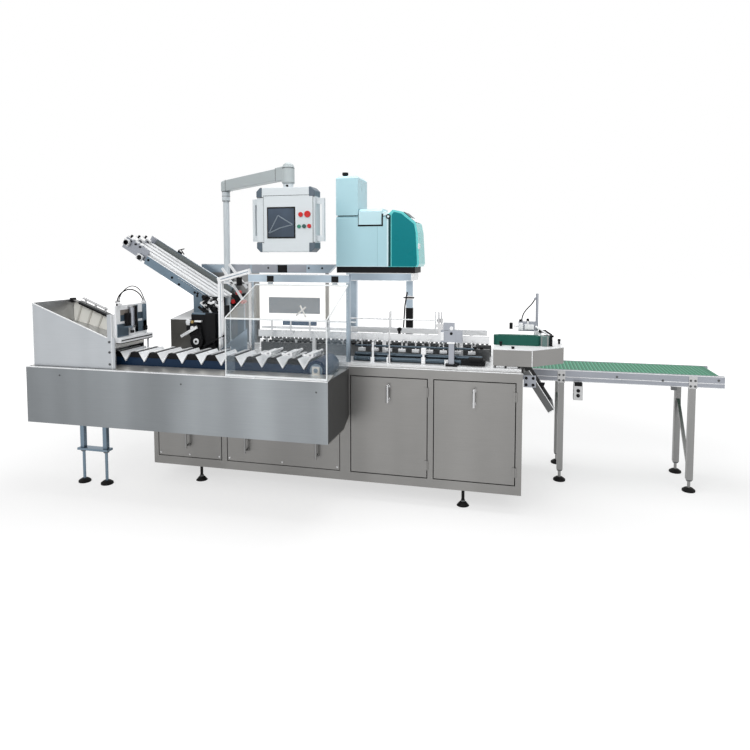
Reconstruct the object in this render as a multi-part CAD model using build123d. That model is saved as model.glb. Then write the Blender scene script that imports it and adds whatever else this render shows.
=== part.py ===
from build123d import *
import os
from math import cos, radians, sin, tan

# Horizontal cartoning machine for bags and pouches, in millimetres.
# Machine datum: X from the cabinet's left end, Y from its front face (towards the rear), Z from the floor.
# Every node is moved at the end so that the origin is at the middle of the machine's footprint.

# Cabinet
CABINET_LENGTH = 2533.0
CABINET_DEPTH = 960.0
CABINET_UNDERSIDE = 125.0
BED_TOP = 880.0
PLINTH_HEIGHT = 57.0
LINTEL_HEIGHT = 59.0
END_WALL = 37.0
MULLION = 34.0
REAR_WALL = 20.0
DOOR_WIDTH = 495.0
DOOR_THICKNESS = 22.0
DOOR_GAP = 6.0
PANEL_RECESS = 12.0
SMALL_PANEL_LEFT = 41.0
SMALL_PANEL_WIDTH = 481.0
PANEL_POST = 50.0
PANEL_END_POST = 75.0
HOUSING_RIGHT = CABINET_LENGTH - END_WALL - MULLION - 2 * DOOR_WIDTH - 4 * DOOR_GAP
WIDE_PANEL_LEFT = SMALL_PANEL_LEFT + SMALL_PANEL_WIDTH + PANEL_POST
WIDE_PANEL_WIDTH = HOUSING_RIGHT - PANEL_END_POST - WIDE_PANEL_LEFT
DOOR_HINGE_RADIUS = 5.0
DOOR_HINGE_SEAT = 0.3
DOOR_HINGE_LENGTH = 60.0
DOOR_HINGE_INSET = 50.0
DOOR_HINGE_LEAF = 14.0
HANDLE_LENGTH = 110.0
HANDLE_RADIUS = 7.0
HANDLE_REACH = 34.0
DOOR_HANDLE_DROP = 41.0
SMALL_PANEL_HANDLE = 0.48
WIDE_PANEL_HANDLES = (0.18, 0.81)
PANEL_HANDLE_TOP = 370.0

# Levelling feet
FOOT_INSET_X = 324.0
FOOT_INSET_Y = 80.0
FOOT_PAD_RADIUS = 40.0
FOOT_PAD_HEIGHT = 22.0
FOOT_STUD_RADIUS = 10.0

# Bed plate
BED_PLATE = 18.0
BED_PLATE_SETBACK = 40.0
BED_PLATE_MARGIN = 10.0

# Infeed trough in front of the cabinet
TROUGH_OVERHANG = 646.0
TROUGH_SETBACK = 7.0
TROUGH_RIGHT = HOUSING_RIGHT - TROUGH_SETBACK
TROUGH_DEPTH = 437.0
TROUGH_UNDERSIDE = 495.0
TROUGH_RIM = 865.0
SHEET = 5.0
RIM_LIP = 22.0
END_CHAMFER = 120.0
TRAY_DROP = 3.0

# Stand under the trough's left end
STAND_LEG_LEFT = -460.0
STAND_LEG_SPAN = 182.0
STAND_LEG_SIZE = 30.0
STAND_LEG_Y = -150.0
STAND_CROSS_Z = 250.0

# Bucket conveyor
BELT_FRONT = -300.0
BELT_WIDTH = 262.0
DRUM_RADIUS = 62.0
DRUM_AXIS_Z = 901.0
DRUM_INSET = 118.0
DRUM_LEFT = -437.0
DRUM_RIGHT = TROUGH_RIGHT - DRUM_INSET
BUCKET_PITCH = 137.0
BUCKET_INSET = 77.0
LAST_BUCKET = DRUM_RIGHT - BUCKET_INSET
BUCKET_COUNT = int((LAST_BUCKET - BUCKET_INSET - DRUM_LEFT) / BUCKET_PITCH) + 1
BUCKET_WIDTH = 79.0
BUCKET_HEIGHT = 63.0
BUCKET_SHEET = 3.0
BUCKET_PROUD = 4.0
BUCKET_SEAT = 0.3
BUCKET_NOSE = 8.0
PAD_CLEARANCE = 3.0
PAD_HEIGHT = 26.0
DRUM_SHAFT_RADIUS = 10.0
SHAFT_SEAT = 0.3
BEARING_PLATE = 6.0
BEARING_HALF = 24.0
RUN_CLEARANCE = 4.0

# Feed hopper
HOPPER_LEFT = -616.0
HOPPER_FRONT = -400.0
HOPPER_LENGTH = 567.0
HOPPER_WIDTH = 380.0
HOPPER_TOP = 1282.0
HOPPER_FALL = 215.0
CORNER_POST = 33.0
CORNER_POST_TOP = 1215.0
CORNER_FOOT_WIDTH = 53.0
HOPPER_FLOOR_DROP = 150.0
HOPPER_FLOOR_END = 990.0
COVER_STRIP = 34.0

# Bag pick-off unit at the hopper's mouth
PICK_PLATE = 12.0
PICK_TOP = 1270.0
PICK_BOTTOM = 1060.0
PICK_DEPTH = 375.0
PICK_REAR_INSET = 20.0
PICK_BORDER = 40.0
PICK_HEAD_BAR = 30.0
NEAR_WINDOW = 110.0
FAR_WINDOW = 80.0
PICK_LEG = 8.0
CHUTE_STRIP = 30.0
CYLINDER_SHARE = 0.42
CYLINDER_RADIUS = 18.0
CYLINDER_BOTTOM = 1122.0
CYLINDER_LENGTH = 142.0
CYLINDER_ROD_RADIUS = 6.0
CYLINDER_ROD_LENGTH = 34.0
MANIFOLD_WIDTH = 24.0
MANIFOLD_LENGTH = 26.0
MANIFOLD_HEIGHT = 14.0
MANIFOLD_INSET = 18.0

# Carton magazine
MAGAZINE_TILT = 30.0
MAGAZINE_LOW_X = 290.0
MAGAZINE_LOW_Z = 1330.0
MAGAZINE_LENGTH = 770.0
MAGAZINE_FRONT = 340.0
MAGAZINE_WIDTH = 320.0
MAGAZINE_PLATE = 10.0
NEAR_SIDE_LENGTH = 600.0
NEAR_SIDE_DROP = 45.0
NEAR_SIDE_DEPTH = 67.0
FAR_SIDE_LIFT = 14.0
FAR_SIDE_DEPTH = 94.0
PEDESTAL_WIDTH = 102.0
PEDESTAL_INSET = 8.0
MAGAZINE_TIES = (0.08, 0.54, 0.92)
TIE_WIDTH = 22.0
TIE_DEPTH = 25.0
RAIL_PLACES = (0.04, 0.27, 0.52, 0.78)
RAIL_WIDTH = 44.0
RAIL_DEPTH = 22.0
RAIL_DROP = 50.0
RAIL_OVERRUN = 40.0
CHEEK_REACH = 55.0
CHEEK_DEPTH = 90.0
HEAD_SHAFT_RADIUS = 14.0
HEAD_SHAFT_DROP = 40.0
HEAD_SHAFT_OVERHANG = 28.0
LOWER_SHAFT_PLACE = 640.0
LOWER_SHAFT_DROP = 82.0

# Magazine drive housing
DRIVE_LEFT = -40.0
DRIVE_WIDTH = 280.0
DRIVE_FRONT = 300.0
DRIVE_DEPTH = 360.0
DRIVE_TOP = 1115.0
DRIVE_ROOF_RISE = 55.0

# Guard over the bucket conveyor
GUARD_WIDTH = 644.0
GUARD_INSET = 6.0
GUARD_LEFT = TROUGH_RIGHT - GUARD_INSET - GUARD_WIDTH
GUARD_FRONT = -430.0
GUARD_SHEET = 8.0
GUARD_HINGE_Y = 22.0
GUARD_HINGE_Z = 1408.0
GUARD_FOLD_Z = 1220.0
GUARD_HEM = 5.0
TUNNEL_SIDE = 20.0
TUNNEL_TOP = 1010.0
GUARD_SIDE_GAP = 6.0
HEADER_REACH = 64.0
HEADER_LEFT = GUARD_LEFT - HEADER_REACH
HEADER_HEIGHT = 53.0
HEADER_DEPTH = 40.0
GUARD_POST = 24.0
HINGE_LEAF = 34.0
HINGE_RADIUS = 7.0
HINGE_SEAT = 0.3
HINGE_LEAF_PLATE = 6.0
HINGE_PLACES = (0.15, 0.85)

# Carton opener
POST_TO_GUARD = 217.0
FRONT_POST_X = HEADER_LEFT - POST_TO_GUARD
FRONT_POST_Y = 54.0
FRONT_POST_SIZE = 28.0
FRONT_POST_TOP = 1411.0
CARRIER_LENGTH = 232.0
CARRIER_TILT = 15.0
CARRIER_HEIGHT = 34.0
OPENER_REACH = 248.0
OPENER_LEFT = FRONT_POST_X - OPENER_REACH
OPENER_WIDTH = 190.0
OPENER_FRONT = 92.0
OPENER_DEPTH = 188.0
OPENER_TOP = 1190.0
PULLEY_RADIUS = 46.0
PULLEY_WIDTH = 24.0
PULLEYS = ((50.0, 95.0), (20.0, 188.0))
ROTOR_OFFSET = 38.0
ROTOR_X = FRONT_POST_X + ROTOR_OFFSET
ROTOR_Y = 250.0
ROTOR_Z = 1285.0
ROTOR_RADIUS = 58.0
ROTOR_HUB = 20.0
ROTOR_ARMS = 3
ROTOR_ARM_HALF = 14.0
ROTOR_SHAFT_RADIUS = 11.0
ROTOR_SHAFT_FIT = 0.05
BEARING_WIDTH = 52.0
BEARING_DEPTH = 20.0
DIVIDER_TO_GUARD = 142.0
DIVIDER_X = HEADER_LEFT - DIVIDER_TO_GUARD
DIVIDER_FRONT = -105.0
DIVIDER_FOOT = 45.0
DIVIDER_DEPTH = 242.0
DIVIDER_TOP = 1063.0

# Operator panel on its post and arm
ARM_POST_X = 223.0
ARM_POST_Y = 700.0
ARM_POST_RADIUS = 24.0
ARM_COLLAR_RADIUS = 31.0
ARM_COLLAR_HEIGHT = 76.0
ARM_FLANGE_HEIGHT = 15.0
ARM_SECTION = 86.0
ARM_WIDTH = 60.0
ARM_KNUCKLE_RADIUS = 38.0
ARM_REACH = 960.0
ARM_REST_ANGLE = -37.3
HEAD_RADIUS = 42.0
HEAD_HEIGHT = 142.0
PANEL_WIDTH = 410.0
PANEL_HEIGHT = 427.0
PANEL_DEPTH = 110.0
PANEL_CORNER = 26.0
PANEL_GAP = 0.5
PANEL_FRAME = 52.0
PANEL_FACE_PROUD = 4.0
PANEL_NECK = 28.0
GRIP_REACH = 50.0
GRIP_HEIGHT = 285.0
GRIP_BAR = 18.0
GRIP_BRACKET = 38.0
GRIP_DEPTH = 30.0
PANEL_CLEARANCE = 148.0
PANEL_BOTTOM = GUARD_HINGE_Z + HINGE_RADIUS + HEADER_HEIGHT + PANEL_CLEARANCE
ARM_HEIGHT = PANEL_BOTTOM + PANEL_HEIGHT + PANEL_NECK + PANEL_GAP + HEAD_HEIGHT / 2

# Hot-melt glue unit and its stand
GLUE_OFFSET = 425.0
GLUE_LEFT = GUARD_LEFT + GLUE_OFFSET
GLUE_FRONT = 450.0
GLUE_DEPTH = 260.0
GLUE_BASE_Z = 1469.0
GLUE_BASE_HEIGHT = 44.0
GLUE_BASE_LENGTH = 574.0
GLUE_BASE_INSET = 10.0
TANK_LENGTH = 384.0
TANK_HEIGHT = 360.0
TANK_CHAMFER = 14.0
TOWER_LENGTH = 162.0
TOWER_HEIGHT = 285.0
TOWER_CHAMFER = 16.0
TOWER_NECK_INSET = 12.0
KNOB_INSET = 52.0
KNOB_SETBACK = 60.0
KNOB_RADIUS = 16.0
KNOB_HEIGHT = 30.0
COVER_LENGTH = 220.0
COVER_RISE = 41.0
COVER_SHOULDER = 30.0
COVER_CROWN = 100.0
COVER_CROWN_FALL = 15.0
COVER_NOSE = 25.0
COVER_NOSE_FALL = 95.0
COVER_SIDE_FALL = 160.0
COVER_TAPER = 12.0
COVER_FOOT = 20.0
LID_LENGTH = 166.0
LID_HEIGHT = 46.0
LID_SHOULDER = 20.0
LID_CROWN = 40.0
LID_APRON = 62.0
LID_THICKNESS = 8.0
LID_GAP = 5.5
LID_BACK_INSET = 60.0
LID_PIN_RADIUS = 6.0
LID_EAR = 12.0
LID_EAR_ROOT = 5.0
SHELF_HEIGHT = 56.0
SHELF_LENGTH = 480.0
SHELF_OFFSET = 74.0
SHELF_LEFT = GLUE_LEFT + SHELF_OFFSET
STAND_POST = 44.0
STAND_POST_INSET = 40.0

# Rear duct
DUCT_LEFT = -27.0
DUCT_GAP = 89.0
DUCT_RIGHT = GLUE_LEFT - DUCT_GAP
DUCT_FRONT = 740.0
DUCT_DEPTH = 60.0
DUCT_TOP = 1525.0
DUCT_HEIGHT = 68.0
REAR_SHEET_WIDTH = 470.0

# Carton line
CLOSER_INSET = 183.0
CLOSER_LEFT = CABINET_LENGTH - CLOSER_INSET
LINE_LEFT = 700.0
LINE_END_GAP = 31.0
LINE_RIGHT = CLOSER_LEFT - LINE_END_GAP
BEAM_FEET = (0.25, 0.56, 0.88)
BEAM_FOOT = 24.0
GUIDE_BEAM_Y = 240.0
GUIDE_BEAM_DEPTH = 22.0
GUIDE_BEAM_Z = 1020.0
GUIDE_BEAM_HEIGHT = 46.0
CHAIN_GAP = 20.0
CARTON_LANE = 190.0
CHAIN_BED_TOP = 975.0
CHAIN_BED_WIDTH = 26.0
LUG_PITCH = 114.0
LUG_START = 30.0
LUG_LENGTH = 14.0
LUG_INSET = 4.0
LUG_HEIGHT = 34.0
TUBE_RADIUS = 16.0
UPPER_TUBE_Y = 140.0
UPPER_TUBE_Z = 938.0
LOWER_TUBE_Y = 104.0
LOWER_TUBE_Z = 916.0
TUBE_GAP = 4.0
TUBES_LEFT = TROUGH_RIGHT + TUBE_GAP
TUBES_RIGHT = LINE_RIGHT - LINE_END_GAP - 2 * TUBE_GAP
TUBE_BRACKET = 24.0
TUBE_BRACKETS = (0.16, 0.55, 0.9)
TOP_GUIDE_OFFSET = 86.0
TOP_GUIDE_LEFT = GLUE_LEFT + TOP_GUIDE_OFFSET
TOP_GUIDE_GAP = 4.0
TOP_GUIDE_DEPTH = 22.0
TOP_GUIDE_Z = 1038.0
TOP_GUIDE_HEIGHT = 36.0
TOP_ROD_LENGTH = 646.0
TOP_ROD_RISE = 62.0
TOP_ROD_RADIUS = 5.0
TOP_ROD_POSTS = (0.47, 0.97)

# Flap closing unit
CLOSER_FRONT = 60.0
CLOSER_FACE = 236.0
CLOSER_CHAMFER_X = 195.0
CLOSER_CHAMFER_Y = 180.0
CLOSER_DEPTH = 500.0
CLOSER_UNDERSIDE = 912.0
CLOSER_HEIGHT = 103.0
CLOSER_LEG = 30.0
CLOSER_LEG_INSET = 60.0
CLOSER_LEGS = (30.0, 120.0)
PRESS_INSET = 24.0
PRESS_BELT_Y = 270.0
PRESS_ROLLER = 30.0
PRESS_SPAN = 236.0
PRESS_HEIGHT = 64.0
PRESS_GUARD_GAP = 3.0
PRESS_GUARD_LENGTH = 44.0
MAST_OFFSET = 269.0
MAST_X = CLOSER_LEFT + MAST_OFFSET
MAST_Y = 450.0
MAST_RADIUS = 9.0
MAST_TOP = 1340.0
MAST_HEAD_REACH = 120.0
MAST_HEAD_DEPTH = 50.0
MAST_HEAD_Z = 1088.0
MAST_HEAD_HEIGHT = 62.0

# Sensor post beside the flap tubes
SENSOR_OFFSET = 272.0
SENSOR_X = CLOSER_LEFT - SENSOR_OFFSET
SENSOR_Y = 44.0
SENSOR_POST = 34.0
SENSOR_TOP = 1126.0
SENSOR_BOX_WIDTH = 50.0
SENSOR_BOX_HEIGHT = 75.0
SENSOR_BOX_Z = 1049.0
SENSOR_CAP_LEFT = 34.0
SENSOR_CAP_HEIGHT = 45.0

# Reject chute at the cabinet's right end
REJECT_Y = 120.0
REJECT_WIDTH = 280.0
REJECT_LENGTH = 290.0
REJECT_TILT = 57.0
REJECT_TOP = 860.0
REJECT_SIDE = 42.0

# Outfeed conveyor
OUTFEED_LENGTH = 1294.0
OUTFEED_FRONT = 654.0
OUTFEED_WIDTH = 411.0
OUTFEED_TOP = 795.0
RAIL_HEIGHT = 81.0
RAIL_THICKNESS = 25.0
OUTFEED_ROLLER = 30.0
OUTFEED_BELT = 4.0
LEG_OFFSET = 263.0
LEG_LEFT = CABINET_LENGTH + LEG_OFFSET
LEG_SPAN = 839.0
LEG_SIZE = 40.0
BRACE_DROP = 300.0
BRACE_FOOT = 140.0
BRACE_WIDTH = 30.0
SWITCH_OFFSET = 81.0
SWITCH_X = LEG_LEFT + SWITCH_OFFSET
SWITCH_WIDTH = 60.0
SWITCH_PROUD = 30.0
SWITCH_HEIGHT = 120.0
LEG_FOOT_DROP = 82.0

# Hoses: their diameters and the points that they follow, in X, Y and Z
HOSE_RADIUS = 4.0
THIN_HOSE_RADIUS = 3.0
HOSE_FITTING_LENGTH = 14.0
HOSE_FITTING_WALL = 3.0
PICK_HOSE_LOWER = (
    (-10.0, -347.0, 1294.0),
    (-10.0, -337.0, 1326.0),
    (-10.0, -292.0, 1356.0),
    (-10.0, -237.0, 1370.0),
    (-10.0, -182.0, 1366.0),
    (-10.0, -132.0, 1346.0),
    (-10.0, -96.0, 1320.0),
    (-10.0, -78.0, 1294.0),
)
PICK_HOSE_UPPER = (
    (2.0, -347.0, 1294.0),
    (2.0, -338.0, 1326.0),
    (2.0, -300.0, 1362.0),
    (2.0, -247.0, 1388.0),
    (2.0, -190.0, 1392.0),
    (2.0, -137.0, 1372.0),
    (2.0, -100.0, 1336.0),
    (2.0, -79.0, 1294.0),
)
MAST_HOSE = (
    (2603.0, 450.0, 1300.0),
    (2587.0, 450.0, 1270.0),
    (2562.0, 450.0, 1245.0),
    (2538.0, 450.0, 1216.0),
    (2524.0, 450.0, 1184.0),
    (2521.0, 450.0, 1164.0),
)

# Overall footprint, used to centre the origin
REAR_LIMIT = OUTFEED_FRONT + OUTFEED_WIDTH - LEG_SIZE / 2 + FOOT_PAD_RADIUS
RIGHT_LIMIT = CABINET_LENGTH + OUTFEED_LENGTH
CENTRE_X = (RIGHT_LIMIT - TROUGH_OVERHANG) / 2
CENTRE_Y = (REAR_LIMIT - TROUGH_DEPTH) / 2


def block(x0, x1, y0, y1, z0, z1):
    """A box between two corners."""
    middle = ((x0 + x1) / 2, (y0 + y1) / 2, (z0 + z1) / 2)
    return Pos(*middle) * Box(x1 - x0, y1 - y0, z1 - z0)


def rod_x(x0, x1, y, z, radius):
    """A round bar along X."""
    return Pos((x0 + x1) / 2, y, z) * Rot(0, 90, 0) * Cylinder(radius, x1 - x0)


def rod_y(x, y0, y1, z, radius):
    """A round bar along Y."""
    return Pos(x, (y0 + y1) / 2, z) * Rot(90, 0, 0) * Cylinder(radius, y1 - y0)


def rod_z(x, y, z0, z1, radius):
    """An upright round bar."""
    return Pos(x, y, (z0 + z1) / 2) * Cylinder(radius, z1 - z0)


def profile_y(points, y0, y1):
    """A flat outline in X and Z, given thickness from y0 to y1."""
    face = make_face(Polyline([(x, 0, z) for x, z in points], close=True))
    return Pos(0, y0, 0) * extrude(face, y1 - y0, dir=(0, 1, 0))


def profile_x(points, x0, x1):
    """A flat outline in Y and Z, given thickness from x0 to x1."""
    face = make_face(Polyline([(0, y, z) for y, z in points], close=True))
    return Pos(x0, 0, 0) * extrude(face, x1 - x0, dir=(1, 0, 0))


def profile_z(points, z0, z1):
    """A flat outline in X and Y, given height from z0 to z1."""
    face = make_face(Polyline([(x, y, 0) for x, y in points], close=True))
    return Pos(0, 0, z0) * extrude(face, z1 - z0, dir=(0, 0, 1))


def rod_between(start, end, radius):
    """A round bar between two points."""
    line = Vector(*end) - Vector(*start)
    place = Plane(origin=start, z_dir=line)
    return place * Cylinder(radius, line.length, align=(Align.CENTER, Align.CENTER, Align.MIN))


def hose(points, radius):
    """A hose along straight runs joined by arcs as large as the runs allow."""
    spots = [Vector(*point) for point in points]
    radii = []
    for before, corner, after in zip(spots, spots[1:], spots[2:]):
        run_in = corner - before
        run_out = after - corner
        turn = radians(run_in.get_angle(run_out))
        radii.append(0.45 * min(run_in.length, run_out.length) / tan(turn / 2))
    path = FilletPolyline(*spots, radius=radii)
    print("hose length", round(path.length), "smallest arc", round(min(radii)))
    return sweep(Plane(origin=path @ 0, z_dir=path % 0) * Circle(radius), path=path)


def hose_fitting(point, towards, radius):
    """The straight fitting that a hose's end butts against."""
    back = (Vector(*point) - Vector(*towards)).normalized() * HOSE_FITTING_LENGTH
    return rod_between(tuple(Vector(*point) + back), point, radius + HOSE_FITTING_WALL)


def pull_handle(x, y, top):
    """An upright bar handle standing off a face that looks towards -Y."""
    bar_y = y - HANDLE_REACH
    bar = rod_z(x, bar_y, top - HANDLE_LENGTH, top, HANDLE_RADIUS)
    inset = 2 * HANDLE_RADIUS
    upper = rod_y(x, bar_y, y, top - inset, HANDLE_RADIUS * 0.7)
    lower = rod_y(x, bar_y, y, top - HANDLE_LENGTH + inset, HANDLE_RADIUS * 0.7)
    return bar + upper + lower


def levelling_foot(x, y, top):
    """A round pad on the floor with its threaded stud."""
    pad = Pos(x, y, FOOT_PAD_HEIGHT / 2) * Cone(FOOT_PAD_RADIUS, FOOT_PAD_RADIUS * 0.55, FOOT_PAD_HEIGHT)
    return pad + rod_z(x, y, FOOT_PAD_HEIGHT / 2, top, FOOT_STUD_RADIUS)


def cabinet():
    """Cabinet walls, fixed service panels, doors, bed plate and feet."""
    door_bottom = CABINET_UNDERSIDE + PLINTH_HEIGHT + DOOR_GAP
    door_top = BED_TOP - LINTEL_HEIGHT - DOOR_GAP
    right_wall = CABINET_LENGTH - END_WALL
    right_door = right_wall - DOOR_GAP - DOOR_WIDTH
    mullion = right_door - DOOR_GAP - MULLION
    left_door = mullion - DOOR_GAP - DOOR_WIDTH
    wall_bottom = CABINET_UNDERSIDE + PLINTH_HEIGHT
    wall_top = BED_TOP - LINTEL_HEIGHT
    small_left = SMALL_PANEL_LEFT
    small_right = small_left + SMALL_PANEL_WIDTH
    wide_left = WIDE_PANEL_LEFT
    wide_right = wide_left + WIDE_PANEL_WIDTH
    panels = []
    housing = block(0, HOUSING_RIGHT, 0, CABINET_DEPTH, wall_bottom, wall_top)
    handles = {
        (small_left, small_right): (SMALL_PANEL_HANDLE,),
        (wide_left, wide_right): WIDE_PANEL_HANDLES,
    }
    for (left, right), shares in handles.items():
        housing -= block(left - DOOR_GAP, right + DOOR_GAP, 0, PANEL_RECESS, wall_bottom, wall_top)
        panel = block(left, right, 0, PANEL_RECESS, door_bottom, door_top)
        for share in shares:
            panel += pull_handle(left + share * (right - left), 0, PANEL_HANDLE_TOP)
        panels.append(panel)
    walls = [
        block(mullion, mullion + MULLION, 0, CABINET_DEPTH - REAR_WALL, wall_bottom, wall_top),
        block(right_wall, CABINET_LENGTH, 0, CABINET_DEPTH - REAR_WALL, wall_bottom, wall_top),
    ]
    rear = block(HOUSING_RIGHT, CABINET_LENGTH, CABINET_DEPTH - REAR_WALL, CABINET_DEPTH, wall_bottom, wall_top)
    nodes = {
        "cabinet_plinth": block(0, CABINET_LENGTH, 0, CABINET_DEPTH, CABINET_UNDERSIDE, wall_bottom),
        "cabinet_bed": block(0, CABINET_LENGTH, 0, CABINET_DEPTH, wall_top, BED_TOP),
        "cabinet_left_housing": housing,
        "service_panels": Compound(panels),
        "cabinet_walls": walls[0] + walls[1] + rear,
        "bed_plate": block(
            BED_PLATE_MARGIN,
            CABINET_LENGTH - BED_PLATE_MARGIN,
            BED_PLATE_SETBACK,
            CABINET_DEPTH - BED_PLATE_SETBACK,
            BED_TOP,
            BED_TOP + BED_PLATE,
        ),
    }
    for name, left in (("door_left", left_door), ("door_right", right_door)):
        edge = left + DOOR_WIDTH
        door = block(left, edge, 0, DOOR_THICKNESS, door_bottom, door_top)
        door += pull_handle(left + DOOR_WIDTH / 2, 0, door_top - DOOR_HANDLE_DROP)
        barrel_x = edge + DOOR_GAP
        barrel_y = -DOOR_HINGE_RADIUS - DOOR_HINGE_SEAT
        for low in (door_bottom + DOOR_HINGE_INSET, door_top - DOOR_HINGE_INSET - DOOR_HINGE_LENGTH):
            high = low + DOOR_HINGE_LENGTH
            door += rod_z(barrel_x, barrel_y, low, high, DOOR_HINGE_RADIUS)
            door += block(edge - DOOR_HINGE_LEAF, barrel_x, barrel_y, 0, low, high) - block(
                edge, barrel_x + 1, -DOOR_HINGE_SEAT, 1, low - 1, high + 1
            )
        nodes[name] = door
    feet = []
    for x in (FOOT_INSET_X, CABINET_LENGTH - FOOT_INSET_X - DOOR_GAP * 6):
        for y in (FOOT_INSET_Y, CABINET_DEPTH - FOOT_INSET_Y):
            feet.append(levelling_foot(x, y, CABINET_UNDERSIDE))
    nodes["cabinet_feet"] = Compound(feet)
    return nodes


def trough():
    """Sheet-metal trough that carries the bucket conveyor, with its tray and stand."""
    left = -TROUGH_OVERHANG
    right = TROUGH_RIGHT
    front = -TROUGH_DEPTH
    wall = block(left, right, front, front + SHEET, TROUGH_UNDERSIDE, TROUGH_RIM)
    lip = block(left, right, front, front + RIM_LIP, TROUGH_RIM - SHEET, TROUGH_RIM)
    end_outline = [
        (front + SHEET, TROUGH_UNDERSIDE + SHEET),
        (-END_CHAMFER, TROUGH_UNDERSIDE + SHEET),
        (0, TROUGH_UNDERSIDE + SHEET + END_CHAMFER / 2),
        (0, TROUGH_RIM),
        (front + RIM_LIP, TROUGH_RIM),
        (front + RIM_LIP, TROUGH_RIM - SHEET),
        (front + SHEET, TROUGH_RIM - SHEET),
    ]
    ends = [profile_x(end_outline, left, left + SHEET), profile_x(end_outline, right - SHEET, right)]
    slant_top = TROUGH_UNDERSIDE + END_CHAMFER / 2
    slant = [
        (front + SHEET, TROUGH_UNDERSIDE),
        (-END_CHAMFER, TROUGH_UNDERSIDE),
        (0, slant_top),
        (0, slant_top + SHEET),
        (-END_CHAMFER, TROUGH_UNDERSIDE + SHEET),
        (front + SHEET, TROUGH_UNDERSIDE + SHEET),
    ]
    shell = profile_x(slant, left, right)
    tray_top = TROUGH_RIM - SHEET - TRAY_DROP
    tray = block(left + SHEET, right - SHEET, front + SHEET, 0, tray_top - SHEET, tray_top)
    slot_left = DRUM_LEFT - DRUM_RADIUS - RUN_CLEARANCE
    slot_right = DRUM_RIGHT + DRUM_RADIUS + RUN_CLEARANCE
    slot_front = BELT_FRONT - RUN_CLEARANCE
    slot_rear = BELT_FRONT + BELT_WIDTH + RUN_CLEARANCE
    shell += block(left + SHEET, 0, -SHEET, 0, slant_top, tray_top - SHEET)
    tray -= block(slot_left, slot_right, slot_front, slot_rear, tray_top - 2 * SHEET, tray_top + SHEET)
    for x in (DRUM_LEFT, DRUM_RIGHT):
        for y in (slot_front - BEARING_PLATE, slot_rear):
            cheek_rear = y + BEARING_PLATE
            cheek_top = DRUM_AXIS_Z + BEARING_HALF
            cheek = block(x - BEARING_HALF, x + BEARING_HALF, y, cheek_rear, tray_top, cheek_top)
            tray += cheek - rod_y(x, y - 1, cheek_rear + 1, DRUM_AXIS_Z, DRUM_SHAFT_RADIUS + SHAFT_SEAT)
    return {
        "trough_front_panel": wall + lip,
        "trough_ends": Compound(ends),
        "trough_plates": Compound([shell, tray]),
        "trough_stand": trough_stand(),
    }


def trough_stand():
    """Pair of legs under the trough's left end, tied by a low plate, on levelling feet."""
    half = STAND_LEG_SIZE / 2
    stand = block(
        STAND_LEG_LEFT - STAND_LEG_SIZE,
        STAND_LEG_LEFT + STAND_LEG_SPAN + STAND_LEG_SIZE,
        STAND_LEG_Y - STAND_LEG_SIZE,
        STAND_LEG_Y + STAND_LEG_SIZE,
        STAND_CROSS_Z - half,
        STAND_CROSS_Z,
    )
    for x in (STAND_LEG_LEFT, STAND_LEG_LEFT + STAND_LEG_SPAN):
        leg_front = STAND_LEG_Y - half
        leg_rear = STAND_LEG_Y + half
        stand += block(x - half, x + half, leg_front, leg_rear, STAND_CROSS_Z, TROUGH_UNDERSIDE)
        stand += levelling_foot(x, STAND_LEG_Y, STAND_CROSS_Z)
    return stand


def bucket_conveyor():
    """Looped belt between two drums, pads on it and V-shaped buckets lying across it."""
    rear = BELT_FRONT + BELT_WIDTH
    top = DRUM_AXIS_Z + DRUM_RADIUS
    drum_left = DRUM_LEFT
    bed_top = top + BUCKET_PROUD - BUCKET_HEIGHT - BUCKET_SEAT
    shaft_front = BELT_FRONT - RUN_CLEARANCE - BEARING_PLATE
    shaft_rear = rear + RUN_CLEARANCE + BEARING_PLATE
    loop = block(drum_left, DRUM_RIGHT, BELT_FRONT, rear, DRUM_AXIS_Z - DRUM_RADIUS, bed_top)
    for x in (drum_left, DRUM_RIGHT):
        loop += rod_y(x, BELT_FRONT, rear, DRUM_AXIS_Z, DRUM_RADIUS)
        loop += rod_y(x, shaft_front, shaft_rear, DRUM_AXIS_Z, DRUM_SHAFT_RADIUS)
    buckets = []
    pads = []
    half = BUCKET_WIDTH / 2
    fold = top + BUCKET_PROUD - BUCKET_HEIGHT
    slope = BUCKET_SHEET * (BUCKET_HEIGHT / half + 1)
    for index in range(BUCKET_COUNT):
        x = LAST_BUCKET - index * BUCKET_PITCH
        outer = [(x - half, top + BUCKET_PROUD), (x, fold), (x + half, top + BUCKET_PROUD)]
        rim = top + BUCKET_PROUD
        inner_half = half - BUCKET_SHEET
        inner = [(x + inner_half, rim), (x, fold + slope), (x - inner_half, rim)]
        buckets.append(profile_y(outer + inner, BELT_FRONT - BUCKET_NOSE, rear))
        pad_top = bed_top + PAD_HEIGHT
        lower_gap = half * (bed_top - fold) / BUCKET_HEIGHT + PAD_CLEARANCE
        upper_gap = half * (pad_top - fold) / BUCKET_HEIGHT + PAD_CLEARANCE
        if index:
            next_x = x + BUCKET_PITCH
            outline = [
                (x + lower_gap, bed_top),
                (next_x - lower_gap, bed_top),
                (next_x - upper_gap, pad_top),
                (x + upper_gap, pad_top),
            ]
            pads.append(profile_y(outline, BELT_FRONT, rear))
    return {
        "bucket_belt": loop,
        "belt_pads": Compound(pads),
        "bag_buckets": Compound(buckets),
    }


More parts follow.
